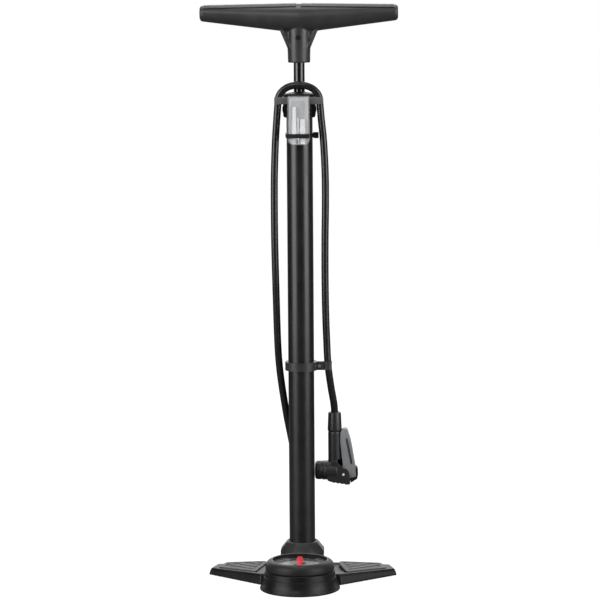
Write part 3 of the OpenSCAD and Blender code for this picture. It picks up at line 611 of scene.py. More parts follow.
    @staticmethod
    def fan(piece: Piece, turns: list[Point]) -> Piece:
        """Put a copy of a piece at each of several turns about the origin, and remove the piece.

        Args:
            piece: The piece to copy.
            turns: Turn of each copy in degrees about X, Y and Z.

        Returns:
            The copies, joined.
        """
        copies = []
        for turn in turns:
            fresh = piece.copy()
            fresh.data = piece.data.copy()
            bpy.context.scene.collection.objects.link(fresh)
            copies.append(Bench.place(fresh, turn=turn))
        bpy.data.objects.remove(piece)
        return Bench.join(*copies)

    @staticmethod
    def finish(piece: Piece, kind: str, **settings: object) -> Piece:
        """Add a modifier and apply it.

        Args:
            piece: The piece to work on.
            kind: Blender's type name of the modifier.
            settings: The modifier's properties.

        Returns:
            The same piece.
        """
        Bench.take(piece)
        bpy.ops.object.modifier_add(type=kind)
        modifier = piece.modifiers[-1]
        for key, value in settings.items():
            setattr(modifier, key, value)
        bpy.ops.object.modifier_apply(modifier=modifier.name)
        return piece

    @staticmethod
    def bevel(piece: Piece, width: float, segments: int = 3, angle: float = 35.0) -> Piece:
        """Round a piece's sharp edges.

        Args:
            piece: The piece to work on.
            width: Width of the rounding in millimetres.
            segments: Number of its strips.
            angle: Edges sharper than this are rounded, in degrees.

        Returns:
            The same piece.
        """
        return Bench.finish(
            piece, "BEVEL", width=width * MM, segments=segments, limit_method="ANGLE", angle_limit=math.radians(angle)
        )

    @staticmethod
    def soften(piece: Piece, width: float) -> Piece:
        """Round a flat slab's upright edges.

        Args:
            piece: A slab that lies flat.
            width: Width of the rounding in millimetres.

        Returns:
            The same piece.
        """
        Bench.take(piece)
        bpy.ops.object.mode_set(mode="EDIT")
        mesh = bmesh.from_edit_mesh(piece.data)
        for edge in mesh.edges:
            span = edge.verts[0].co - edge.verts[1].co
            edge.select_set(abs(span.z) > 0.0002 and abs(span.x) + abs(span.y) < 0.00001)
        bmesh.update_edit_mesh(piece.data)
        bpy.ops.mesh.bevel(offset=width * MM, segments=5, affect="EDGES")
        bpy.ops.object.mode_set(mode="OBJECT")
        return piece

    @staticmethod
    def combine(piece: Piece, operation: str, *tools: Piece) -> Piece:
        """Combine a piece with some tool shapes, and remove the tools.

        Args:
            piece: The piece to work on.
            operation: Blender's name of the operation.
            tools: The tool shapes, used one after the other.

        Returns:
            The same piece.
        """
        for tool in tools:
            Bench.finish(piece, "BOOLEAN", operation=operation, solver="EXACT", object=tool)
            bpy.data.objects.remove(tool)
        return piece

    @staticmethod
    def cut(piece: Piece, *tools: Piece) -> Piece:
        """Take some tool shapes out of a piece, and remove the tools."""
        return Bench.combine(piece, "DIFFERENCE", *tools)

    @staticmethod
    def join(piece: Piece, *others: Piece) -> Piece:
        """Join other pieces into one.

        Args:
            piece: The piece that the others join.
            others: The other pieces.

        Returns:
            The first piece, with all of them in it.
        """
        Bench.take(piece, *others)
        bpy.ops.object.join()
        return piece

    @staticmethod
    def fuse(piece: Piece, voxel: float, smoothing: int = 4) -> Piece:
        """Melt overlapping solids into one skin with soft fillets.

        Args:
            piece: The joined solids.
            voxel: Size of the remesh in millimetres.
            smoothing: Rounds of smoothing after it.

        Returns:
            The same piece.
        """
        Bench.finish(piece, "REMESH", mode="VOXEL", voxel_size=voxel * MM, adaptivity=0.0)
        if smoothing:
            Bench.finish(piece, "SMOOTH", factor=0.5, iterations=smoothing)
        return piece

    @staticmethod
    def smooth(piece: Piece, angle: float = 40.0) -> Piece:
        """Shade a piece smooth.

        Args:
            piece: The piece to work on.
            angle: Edges sharper than this stay sharp, in degrees.

        Returns:
            The same piece.
        """
        Bench.take(piece)
        bpy.ops.object.shade_smooth_by_angle(angle=math.radians(angle))
        return piece


def ride(piece: Piece, body: str, finish: Finish, slot: str, *nodes: str) -> Piece:
    """Dress a new piece, fix it to its body and let it stand for CAD nodes.

    Args:
        piece: The new piece.
        body: The body it rides on.
        finish: Its finish.
        slot: Name of a material slot; not used.
        nodes: CAD nodes that it stands for.

    Returns:
        The same piece.
    """
    dress(piece, finish)
    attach(piece, body)
    if nodes:
        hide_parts(*nodes)
    log.info("%s rides on %s with %d faces", piece.name, body, len(getattr(piece.data, "polygons", ())))
    return piece


# ---------- studio ----------


@dataclass
class Studio:
    """Camera, lamps, floor and backdrop.

    Attributes:
        distance: Distance from the barrel's axis to the camera, level, in metres.
        height: Height of the camera.
        azimuth: Angle of the camera towards +X, in degrees.
        pitch: How far the camera looks down, in degrees.
        roll: Roll of the camera, in degrees.
        yaw: How far the camera looks to the left of the barrel's axis, in degrees.
        lens: Focal length in millimetres on a 36 mm sensor.
        room: Brightness of the dark part of the room.
        window: Brightness of its white end.
        glow: How bright the floor looks to the camera.
    """

    distance: float = 2.8
    height: float = 0.640
    azimuth: float = 2.75
    pitch: float = 6.72
    roll: float = -0.404
    yaw: float = 0.017
    lens: float = 153.6
    room: float = 0.05
    window: float = 1.3
    glow: float = 0.96

    def camera(self) -> None:
        """Set up the camera at the photograph's place."""
        data = bpy.data.cameras.new("camera")
        data.lens = self.lens
        data.sensor_width = 36
        data.clip_end = 100
        camera = bpy.data.objects.new("camera", data)
        bpy.context.scene.collection.objects.link(camera)
        turn = math.radians(self.azimuth)
        place = Vector((self.distance * math.sin(turn), -self.distance * math.cos(turn), self.height))
        aim = (
            Matrix.Rotation(turn + math.radians(self.yaw), 4, "Z")
            @ Matrix.Rotation(math.radians(90 - self.pitch), 4, "X")
            @ Matrix.Rotation(math.radians(self.roll), 4, "Z")
        )
        camera.matrix_world = Matrix.Translation(place) @ aim
        bpy.context.scene.camera = camera

    def lamp(self, name: str, place: Point, size: Pair, power: float, aim: Point) -> None:
        """Add a soft rectangular lamp.

        Args:
            name: Name of the lamp.
            place: Its place in metres.
            size: Width and height of its face.
            power: Its power in watts.
            aim: The point it faces.
        """
        data = bpy.data.lights.new(name, "AREA")
        data.shape = "RECTANGLE"
        data.size, data.size_y = size
        data.energy = power
        lamp = bpy.data.objects.new(name, data)
        bpy.context.scene.collection.objects.link(lamp)
        way = Vector(aim) - Vector(place)
        lamp.rotation_euler = way.to_track_quat("-Z", "Y").to_euler()
        lamp.location = place

    def world(self) -> None:
        """Set up a white backdrop; the rest of the room is dark, but for its white end behind the object."""
        world = bpy.data.worlds.new("studio")
        bpy.context.scene.world = world
        tree = Tree(world, "OutputWorld")
        backdrop, room = tree.add("Background"), tree.add("Background")
        backdrop.inputs["Color"].default_value = (1, 1, 1, 1)
        room.inputs["Color"].default_value = (0.97, 0.98, 1, 1)
        split = tree.add("SeparateXYZ")
        tree.link(tree.add("TexCoord").outputs["Generated"], split.inputs["Vector"])
        tree.link(tree.spread(split.outputs["Y"], self.room, self.window, 0.55, 0.85), room.inputs["Strength"])
        mix = tree.add("MixShader")
        tree.link(tree.seen(), mix.inputs["Fac"])
        tree.link(room.outputs["Background"], mix.inputs[1])
        tree.link(backdrop.outputs["Background"], mix.inputs[2])
        tree.link(mix.outputs["Shader"], tree.output.inputs["Surface"])

    def floor(self) -> None:
        """Lay a floor that looks as pale as the backdrop and keeps the object's faint shadow."""
        Bench.clear()
        bpy.ops.mesh.primitive_grid_add(x_subdivisions=8, y_subdivisions=8, size=60)
        floor = bpy.context.object
        floor.name = "studio_floor"
        recipe = Recipe("pale_floor")
        surface = recipe.add("BsdfPrincipled")
        patch = recipe.spread(recipe.noise(0.6, 2.0), 0, 1)
        recipe.link(recipe.blend(patch, (0.11, 0.11, 0.11), (0.12, 0.12, 0.12)), surface.inputs["Base Color"])
        surface.inputs["Roughness"].default_value = 0.9
        surface.inputs["Specular IOR Level"].default_value = 0.1
        glow = recipe.add("Emission")
        part = recipe.add("Math", operation="MULTIPLY")
        part.inputs[1].default_value = self.glow
        recipe.link(recipe.seen(), part.inputs[0])
        recipe.link(part.outputs["Value"], glow.inputs["Strength"])
        both = recipe.add("AddShader")
        recipe.link(surface.outputs["BSDF"], both.inputs[0])
        recipe.link(glow.outputs["Emission"], both.inputs[1])
        recipe.link(both.outputs["Shader"], recipe.output.inputs["Surface"])
        floor.data.materials.append(recipe.material)

    def build(self) -> None:
        """Set up everything round the object."""
        bpy.context.scene.view_settings.view_transform = "Standard"
        self.camera()
        self.world()
        self.floor()
        self.lamp("strip_left", (-1.6, -1.2, 1.0), (1.35, 2.0), 40, (0, 0, 1.0))
        self.lamp("strip_right", (1.71, -1.03, 1.0), (1.35, 2.0), 40, (0, 0, 1.0))
        self.lamp("front_top", (-0.5, -2.2, 1.9), (1.2, 0.5), 10, (0, 0, 0.6))
        self.lamp("overhead", (0, 0.2, 2.4), (1.6, 1.2), 26, (0, 0, 0.2))
        self.lamp("back_top", (0, 1.7, 1.5), (2.4, 0.7), 20, (0, 0, 0.1))


# ---------- hose ----------


@dataclass
class HoseRun:
    """The hose, from its barb behind the base over the cap and down to the pump head.

    Attributes:
        radius: Outer radius of the hose in millimetres.
        skin: Share of the radius that the tube is drawn with, so that it sinks into no fitting.
        left: Route up the left side, in millimetres.
        arch: Route over the cap.
        right: Route down to the head.
    """

    radius: float = 4.0
    skin: float = 0.998
    left: list[Point] = field(default_factory=lambda: [
        (0, 32, 36), (0, 32, 56), (-1, 31, 80), (-4, 27, 105), (-8.5, 22, 130), (-12.5, 18, 153),
        (-16.5, 15, 175), (-20, 12, 198), (-23.5, 8.5, 225), (-25.5, 6, 250), (-26.5, 3.5, 280),
        (-27, 1, 310), (-27.5, -1.5, 340), (-28, -3.5, 375), (-28, -5.5, 415), (-27.5, -7.5, 450),
        (-26, -9.5, 485), (-24.2, -10.7, 510), (-23, -11, 524),
    ])
    arch: list[Point] = field(default_factory=lambda: [
        (-22.2, -11, 533), (-19, -11, 539), (-14, -11, 543.3), (-7.5, -11, 545.8), (0, -11, 546.5),
        (7.5, -11, 545.8), (14, -11, 543.3), (19, -11, 539), (22.2, -11, 533),
    ])
    right: list[Point] = field(default_factory=lambda: [
        (23, -11, 524), (24.2, -10.7, 510), (26.5, -9.5, 485), (28, -7.5, 450), (28, -5.5, 415),
        (27.3, -3.8, 380), (27, -2, 340), (27.3, -0.5, 300), (28.3, 1, 265), (29.6, 2, 237),
        (32.5, 5.5, 213), (35.4, 9.8, 194), (36.2, 12, 182), (36.2, 12, 164.2),
    ])

    def line(self, cuts: int = 4) -> list[Vector]:
        """Work out the hose's centreline.

        Args:
            cuts: Number of parts of each stretch of the route.

        Returns:
            Points along a smooth curve through the route, in metres.
        """
        route = [mm(*p) for p in self.left + self.arch + self.right]
        last = len(route) - 1
        points = []
        for i in range(last):
            a, b, c, d = route[max(i - 1, 0)], route[i], route[i + 1], route[min(i + 2, last)]
            straight, square, cube = c - a, 2 * a - 5 * b + 4 * c - d, 3 * b - a - 3 * c + d
            for t in (s / cuts for s in range(cuts)):
                points.append(0.5 * (2 * b + t * straight + t * t * square + t ** 3 * cube))
        return points + [route[last]]

    def build(self) -> None:
        points = self.line()
        data = bpy.data.curves.new("hose_line", "CURVE")
        data.dimensions = "3D"
        data.bevel_depth = self.radius * MM * self.skin
        data.bevel_resolution = 7
        data.use_fill_caps = True
        spline = data.splines.new("POLY")
        spline.points.add(len(points) - 1)
        for point, place in zip(spline.points, points):
            point.co = (*place, 1)
        spline.use_smooth = True
        piece = bpy.data.objects.new("hose_line", data)
        bpy.context.scene.collection.objects.link(piece)
        ride(piece, "root", HOSE_RUBBER, "hose_rubber", "hose")


# ---------- outlines ----------


def arc(centre: Pair, radius: float, start: float, end: float, steps: int = 8) -> Outline:
    """Work out the points of an arc.

    Args:
        centre: Its centre.
        radius: Its radius.
        start: Angle of the first point in degrees.
        end: Angle of the last point in degrees.
        steps: Number of stretches.

    Returns:
        The points, both ends included.
    """
    angles = [math.radians(start + (end - start) * i / steps) for i in range(steps + 1)]
    return [(centre[0] + radius * math.cos(a), centre[1] + radius * math.sin(a)) for a in angles]


def inset(outline: Outline, margins: list[float]) -> Outline:
    """Draw an anticlockwise outline in, by its own margin at each corner.

    Args:
        outline: The corners.
        margins: How far the two sides at each corner move inwards.

    Returns:
        The corners of the smaller outline.
    """
    count = len(outline)
    ways = [(Vector(outline[(i + 1) % count]) - Vector(outline[i])).normalized() for i in range(count)]
    normals = [Vector((-way.y, way.x)) for way in ways]
    result = []
    for i, corner in enumerate(outline):
        before, after = normals[i - 1], normals[i]
        result.append(tuple(Vector(corner) + (before + after) * (margins[i] / (1 + before.dot(after)))))
    return result


def box(left: float, low: float, right: float, high: float) -> Outline:
    """Draw a rectangle anticlockwise from its lower left corner."""
    return [(left, low), (right, low), (right, high), (left, high)]


def mirrored(outline: Outline) -> Outline:
    """Mirror an outline in X and keep its sense."""
    return [(-x, y) for x, y in reversed(outline)]


# ---------- handle ----------


@dataclass
class Handle:
    """The T-shaped grip on the rod.

    Attributes:
        top: Height of the grip's top in millimetres, as all sizes here.
        half: Half its width.
        mid_r: Radius at its middle.
        end_r: Radius at its ends.
        nose: Length of the rounding at its ends.
        rise: How far each arm rises, in degrees.
        strip_drop: How far a strip reaches down from its arm's top.
        neck_r: Radius of the neck.
        neck_low: Height of the neck's lower end.
        screw_z: Height of the screw.
    """

    top: float = 635.0
    half: float = 108.0
    mid_r: float = 16.2
    end_r: float = 8.8
    nose: float = 3.5
    rise: float = 3.1
    strip_drop: float = 3.2
    neck_r: float = 12.4
    neck_low: float = 570.5
    screw_z: float = 597.5

    def arms(self) -> Piece:
        """Shape both arms as one limb that thins towards its rounded ends.

        Returns:
            The limb.
        """
        spots = [(0.0, self.mid_r), (self.half - self.nose, self.end_r)]
        spots += [(x, r) for r, x in arc((self.end_r - self.nose, self.half - self.nose), self.nose, 20, 86, 5)]
        line = [(-x, r) for x, r in reversed(spots[1:])] + spots
        return Bench.limb("handle_arms", [((x, 0, self.arm(abs(x))[0]), r, r) for x, r in line], (0, 90, 0), 48)

    def arm(self, x: float) -> Pair:
        """Find an arm's axis height and radius at a distance from the middle."""
        axis = self.top - self.mid_r - 0.2 + x * math.tan(math.radians(self.rise))
        return axis, self.mid_r + (self.end_r - self.mid_r) * x / (self.half - self.nose)

    def groove(self, side: int, way: int) -> Piece:
        """Shape the tool for the groove along one edge of one strip.

        Args:
            side: 1 for the right arm, -1 for the left one.
            way: -1 for the front edge, 1 for the rear one.

        Returns:
            The tool.
        """
        rings = []
        for x in (2.4, 50.0, 104.0):
            axis, r = self.arm(x)
            deep = math.sqrt(r * r - (r - self.strip_drop) ** 2) - 1.3
            low, high = axis + r - self.strip_drop - 1.15, axis + r - self.strip_drop
            rings.append([(side * x, way * y, z) for y, z in ((24, low), (deep, low), (deep, high), (24, high))])
        return Bench.loft("strip_groove", rings)

    def strip(self, side: int) -> None:
        """Lay the rubber strip along the top of one arm.

        Args:
            side: 1 for the right arm, -1 for the left one.
        """
        rings = []
        for x in (3.0, 28.0, 53.0, 78.0, 103.4):
            axis, r = self.arm(x)
            half = math.degrees(math.acos((r - self.strip_drop) / r))
            crest = arc((0, axis), r + 0.35, 90 - half, 90 + half, 12)
            bed = arc((0, axis), r - 1.2, 90 + half, 90 - half, 12)
            rings.append([(side * x, y, z) for y, z in crest + bed])
        strip = Bench.bevel(Bench.loft("strip", rings), 0.3, 2, 50)
        name = "right_grip_pad" if side > 0 else "left_grip_pad"
        strip.name = name.replace("pad", "strip")
        ride(Bench.smooth(strip, 40), "handle", GRIP_STRIP, "grip_pad", name)

    def neck(self) -> list[Piece]:
        """Shape the neck, and the web with its rim on each side.

        Returns:
            The overlapping solids.
        """
        low, r = self.neck_low, self.neck_r
        pieces = [Bench.lathe("handle_neck", [
            (0, low), (r - 0.9, low), (r - 0.3, low + 0.7), (r + 0.2, 588), (r + 0.2, 612), (0, 612),
        ])]
        web = [(8, 588), (r + 0.3, 588), (20.6, 606), (18, 612), (8, 612)]
        rim = [(9.8, 588), (r - 0.2, 586), (r + 0.5, 588), (20.7, 606.5), (17.8, 606.5)]
        for outline, half in ((web, 6.0), (rim, 8.4)):
            pieces.append(Bench.slab("handle_web", outline, -half, half))
            pieces.append(Bench.slab("handle_web", mirrored(outline), -half, half))
        return pieces

    def build(self) -> None:
        """Melt the grip together and drill the screw's hole."""
        grip = Bench.join(self.arms(), *self.neck())
        Bench.fuse(grip, 0.75, 3)
        hole = Bench.place(Bench.rod("hole", 2.75, 0, 9), (0, -9.9, self.screw_z), (90, 0, 0))
        rod = Bench.rod("rod_hole", 6.02, 560, 607)
        grooves = [self.groove(side, way) for side in (1, -1) for way in (-1, 1)]
        Bench.cut(grip, Bench.join(hole, rod, *grooves))
        grip.name = "handle_shell"
        ride(Bench.smooth(grip, 50), "handle", GRIP_GREY, "grip", "handle_grip")
        self.strip(1)
        self.strip(-1)


# ---------- base ----------


@dataclass
class Base:
    """The moulded base: two feet that flow into the gauge cup and the barrel's hub.

    Attributes:
        plan: Corners of the feet from above, anticlockwise, in millimetres as all sizes here.
        rim_z: Height of the feet's lower rim.
        middle_z: Height of the top beside the gauge.
        tip_z: Height of the feet's tips.
        gauge_y: Distance forward to the gauge's axis.
        cup_r: Radius of the cup under the bezel.
        cup_z: Height of the cup's rim.
        step_z: Height of the fine step round the cup.
    """

    plan: Outline = field(default_factory=lambda: [
        (-105, 2.5), (-44.5, -48), (44.5, -48), (105, 2.5), (98, 27), (43, 17), (-43, 17), (-98, 27),
    ])
    rim_z: float = 0.8
    middle_z: float = 13.0
    tip_z: float = 8.6
    gauge_y: float = 62.5
    cup_r: float = 38.0
    cup_z: float = 21.5
    step_z: float = 15.0

    def feet(self) -> Piece:
        """Raise the plan into the feet, whose walls lean in and whose top falls to the tips.

        Returns:
            The feet, one solid.
        """
        tips = (0, 3, 4, 7)
        rings = []
        for margin, height in ((0, None), (0.1, None), (1.6, -1.2), (2.6, -0.3), (3.4, 0)):
            margins = [margin + (0 if i in tips or margin < 1 else 0.3) for i in range(len(self.plan))]
            ring = []
            for i, (x, y) in enumerate(inset(self.plan, margins)):
                top = self.tip_z if i in tips else self.middle_z
                ring.append((x, y, self.rim_z + len(rings) if height is None else top + height))
            rings.append(ring)
        return Bench.loft("feet", rings)

    def seam(self, corners: tuple[int, int, int]) -> Piece:
        """Shape the tool for the fine seam under a foot's top edge.

        Args:
            corners: Numbers of the plan's corners that the seam runs past.

        Returns:
            The tool.
        """
        outer, inner = (inset(self.plan, [margin] * len(self.plan)) for margin in (-2.0, 2.6))
        tops = list(zip(corners, (self.middle_z, self.tip_z, self.tip_z)))
        line = [(*outer[i], top) for i, top in tops] + [(*inner[i], top) for i, top in reversed(tops)]
        return Bench.loft("seam", [[(x, y, z - down) for x, y, z in line] for down in (2.7, 1.95)])

    def cup_line(self, z: float) -> float:
        """Work out the cup's radius at a height."""
        t = (self.cup_z - z) / (self.cup_z - 3.4)
        return self.cup_r + 2.6 * t + 2.3 * t ** 6

    def cup(self) -> Piece:
        """Turn the cup with its lip, its step and its rim.

        Returns:
            The cup in its place.
        """
        low = [(self.cup_line(z) + 0.33, z) for z in (3.8, 5, 6.5, 8.5, 11, 13, self.step_z - 0.3)]
        high = [(self.cup_line(z), z) for z in (self.step_z + 0.1, 17, 19, self.cup_z - 0.3)]
        cup = Bench.lathe("cup", [
            (0, 0.8), (43.1, 0.8), (43.6, 1.1), (43.68, 1.7), (43.65, 2.5), (43.3, 3.0), (42.95, 3.2), *low, *high,
            (37.7, self.cup_z), (33.1, self.cup_z), (33.1, 5), (0, 5),
        ], 128)
        return Bench.place(cup, (0, -self.gauge_y, 0))

    def build(self) -> None:
        """Melt the feet into the hub and the cup's foot, hollow them and add the crisp cup."""
        hub = Bench.lathe("hub", [
            (0, 0.8), (31.5, 0.8), (31.5, 11.5), *arc((30.6, 18.6), 6, 262, 180, 6), (24.6, 23), (24.3, 23.75),
            (19.4, 23.8), (19.4, 34), (0, 34),
        ], 72)
        core = [(self.cup_line(z) - 0.35, z) for z in (4, 6, 8, 10, 12, 14, 16, 18)]
        skirt = Bench.lathe("skirt", [(0, 0.9), (42.6, 0.9), (42.6, 3), *core, (0, 18)], 72)
        Bench.place(skirt, (0, -self.gauge_y, 0))
        boss = Bench.place(Bench.lathe("boss", [(0, 0.8), (9, 0.8), (9, 23.3), (8.5, 23.8), (0, 23.8)], 32), (0, 32, 0))
        body = Bench.join(self.feet(), hub, skirt, boss)
        Bench.fuse(body, 0.85, 5)
        socket = Bench.rod("socket", 14.4, 12, 40)
        room = Bench.place(Bench.rod("room", 33.05, 5, 40), (0, -self.gauge_y, 0))
        port = Bench.place(Bench.rod("port", 3.4, 8, 40, 24), (0, 32, 0))
        recess = [(32, -8), (40, -24), (47, -40), (99.4, 3.6), (94.6, 21.4), (44, 12.2), (32, 12.2)]
        covers = [Bench.slab("recess", side, -1, 3.22, upright=False) for side in (recess, mirrored(recess))]
        seams = [self.seam((2, 3, 4)), self.seam((1, 0, 7))]
        pockets = [Tread(side).pocket() for side in (1, -1)]
        Bench.cut(body, Bench.join(socket, room, port, *covers), Bench.join(*seams), Bench.join(*pockets))
        base = Bench.join(body, self.cup())
        base.name = "base_shell"
        ride(Bench.smooth(base, 35), "root", MOULDED_BLACK, "base", "base_casting")


@dataclass
class Tread:
    """The rubber tread on one foot, with its raised border and diagonal ribs.

    Attributes:
        side: 1 for the right foot, -1 for the left one.
        plan: Corners from above for the right foot, in millimetres.
        ridge: Distance to the side where the foot's top begins to fall.
        top: Height of the foot's top there.
        slope: How far the top falls, in degrees.
        border: Width of the raised border.
        rib_step: Distance from rib to rib, to the side.
        rib_half: Half the width of a rib.
        rib_turn: Direction of the ribs, in degrees.
    """

    side: int
    plan: Outline = field(default_factory=lambda: [
        (93, -0.5), (87.5, 22.2), (42, 13.6), (39.6, 6), (49.5, -35.5),
    ])
    ridge: float = 43.0
    top: float = 13.0
    slope: float = math.degrees(math.atan2(13 - 8.6, 56))
    border: float = 5.2
    rib_step: float = 12.4
    rib_half: float = 2.5
    rib_turn: float = -43.0

    def plate(self, margin: float, low: float, high: float) -> Piece:
        """Cut one layer of the tread from its plan."""
        outline = inset(self.plan, [margin] * len(self.plan))
        return Bench.slab("tread", [(x - self.ridge, y) for x, y in outline], low, high, upright=False)

    def lay(self, piece: Piece) -> Piece:
        """Take a piece from the right foot's level frame to this side's sloping top.

        Args:
            piece: The piece, level and as for the right foot.

        Returns:
            The same piece in its place.
        """
        if self.side < 0:
            Bench.mirror(piece)
        return Bench.place(piece, (self.side * self.ridge, 0, self.top), (0, self.side * self.slope, 0))

    def pocket(self) -> Piece:
        """Shape the tool for the shallow pocket that the tread sits in."""
        return self.lay(Bench.soften(self.plate(-0.8, -1.6, 4), 2.6))

    def build(self) -> None:
        """Lay the plate, its border and its ribs on the sloping foot."""
        plate = self.plate(0.2, -1.7, 1.3)
        Bench.soften(plate, 2.4)
        Bench.bevel(plate, 0.5, 3, 50)
        well = self.plate(self.border, 0.5, 3)
        Bench.soften(well, 1.4)
        Bench.cut(plate, well)
        ribs = []
        for i in range(-3, 4):
            rib = Bench.slab("rib", box(-self.rib_half, -45, self.rib_half, 45), 0.3, 1.3, upright=False)
            Bench.place(rib, (64 + self.rib_step * i - self.ridge, -8, 0), (0, 0, self.rib_turn))
            Bench.combine(rib, "INTERSECT", self.plate(self.border + 1.1, 0, 3))
            if len(rib.data.polygons):
                ribs.append(Bench.bevel(rib, 0.5, 3))
            else:
                bpy.data.objects.remove(rib)
        tread = self.lay(Bench.join(plate, *ribs))
        name = "right_foot_pad" if self.side > 0 else "left_foot_pad"
        tread.name = name.replace("foot_pad", "tread")
        ride(Bench.smooth(tread, 40), "root", TREAD_RUBBER, "tread", name)


@dataclass
class Collar:
    """The eight-sided ring nut round the barrel's foot.

    Attributes:
        levels: Distance of the flats from the axis and height, from the lowest up, in millimetres.
    """

    levels: Outline = field(default_factory=lambda: [
        (23.8, 23.9), (23.8, 31.2), (17.0, 40.2), (16.6, 40.3), (16.1, 41.0),
    ])

    def build(self) -> None:
        """Raise the octagon, bore it and break its edges."""
        corners = [math.radians(22.5 + 45 * i) for i in range(8)]
        out = 1 / math.cos(corners[0])
        collar = Bench.loft("collar", [
            [(math.cos(way) * r * out, math.sin(way) * r * out, z) for way in corners] for r, z in self.levels
        ])
        Bench.bevel(collar, 0.6, 2, 20)
        Bench.cut(collar, Bench.lathe("bore", [
            (0, 20), (19.5, 20), (19.5, 34), (14.4, 34), (14.4, 39.6), (15.5, 40.3), (15.5, 45), (0, 45),
        ], 96))
        collar.name = "ring_nut"
        ride(Bench.smooth(collar, 30), "root", COLLAR_BLACK, "collar", "barrel_collar")


# ---------- gauge ----------


class Layer(Enum):
    """Heights of the dial's printed layers above the dial's face, in millimetres."""

    BAND = 0.02
    TICKS = 0.05
    FIGURES = 0.06


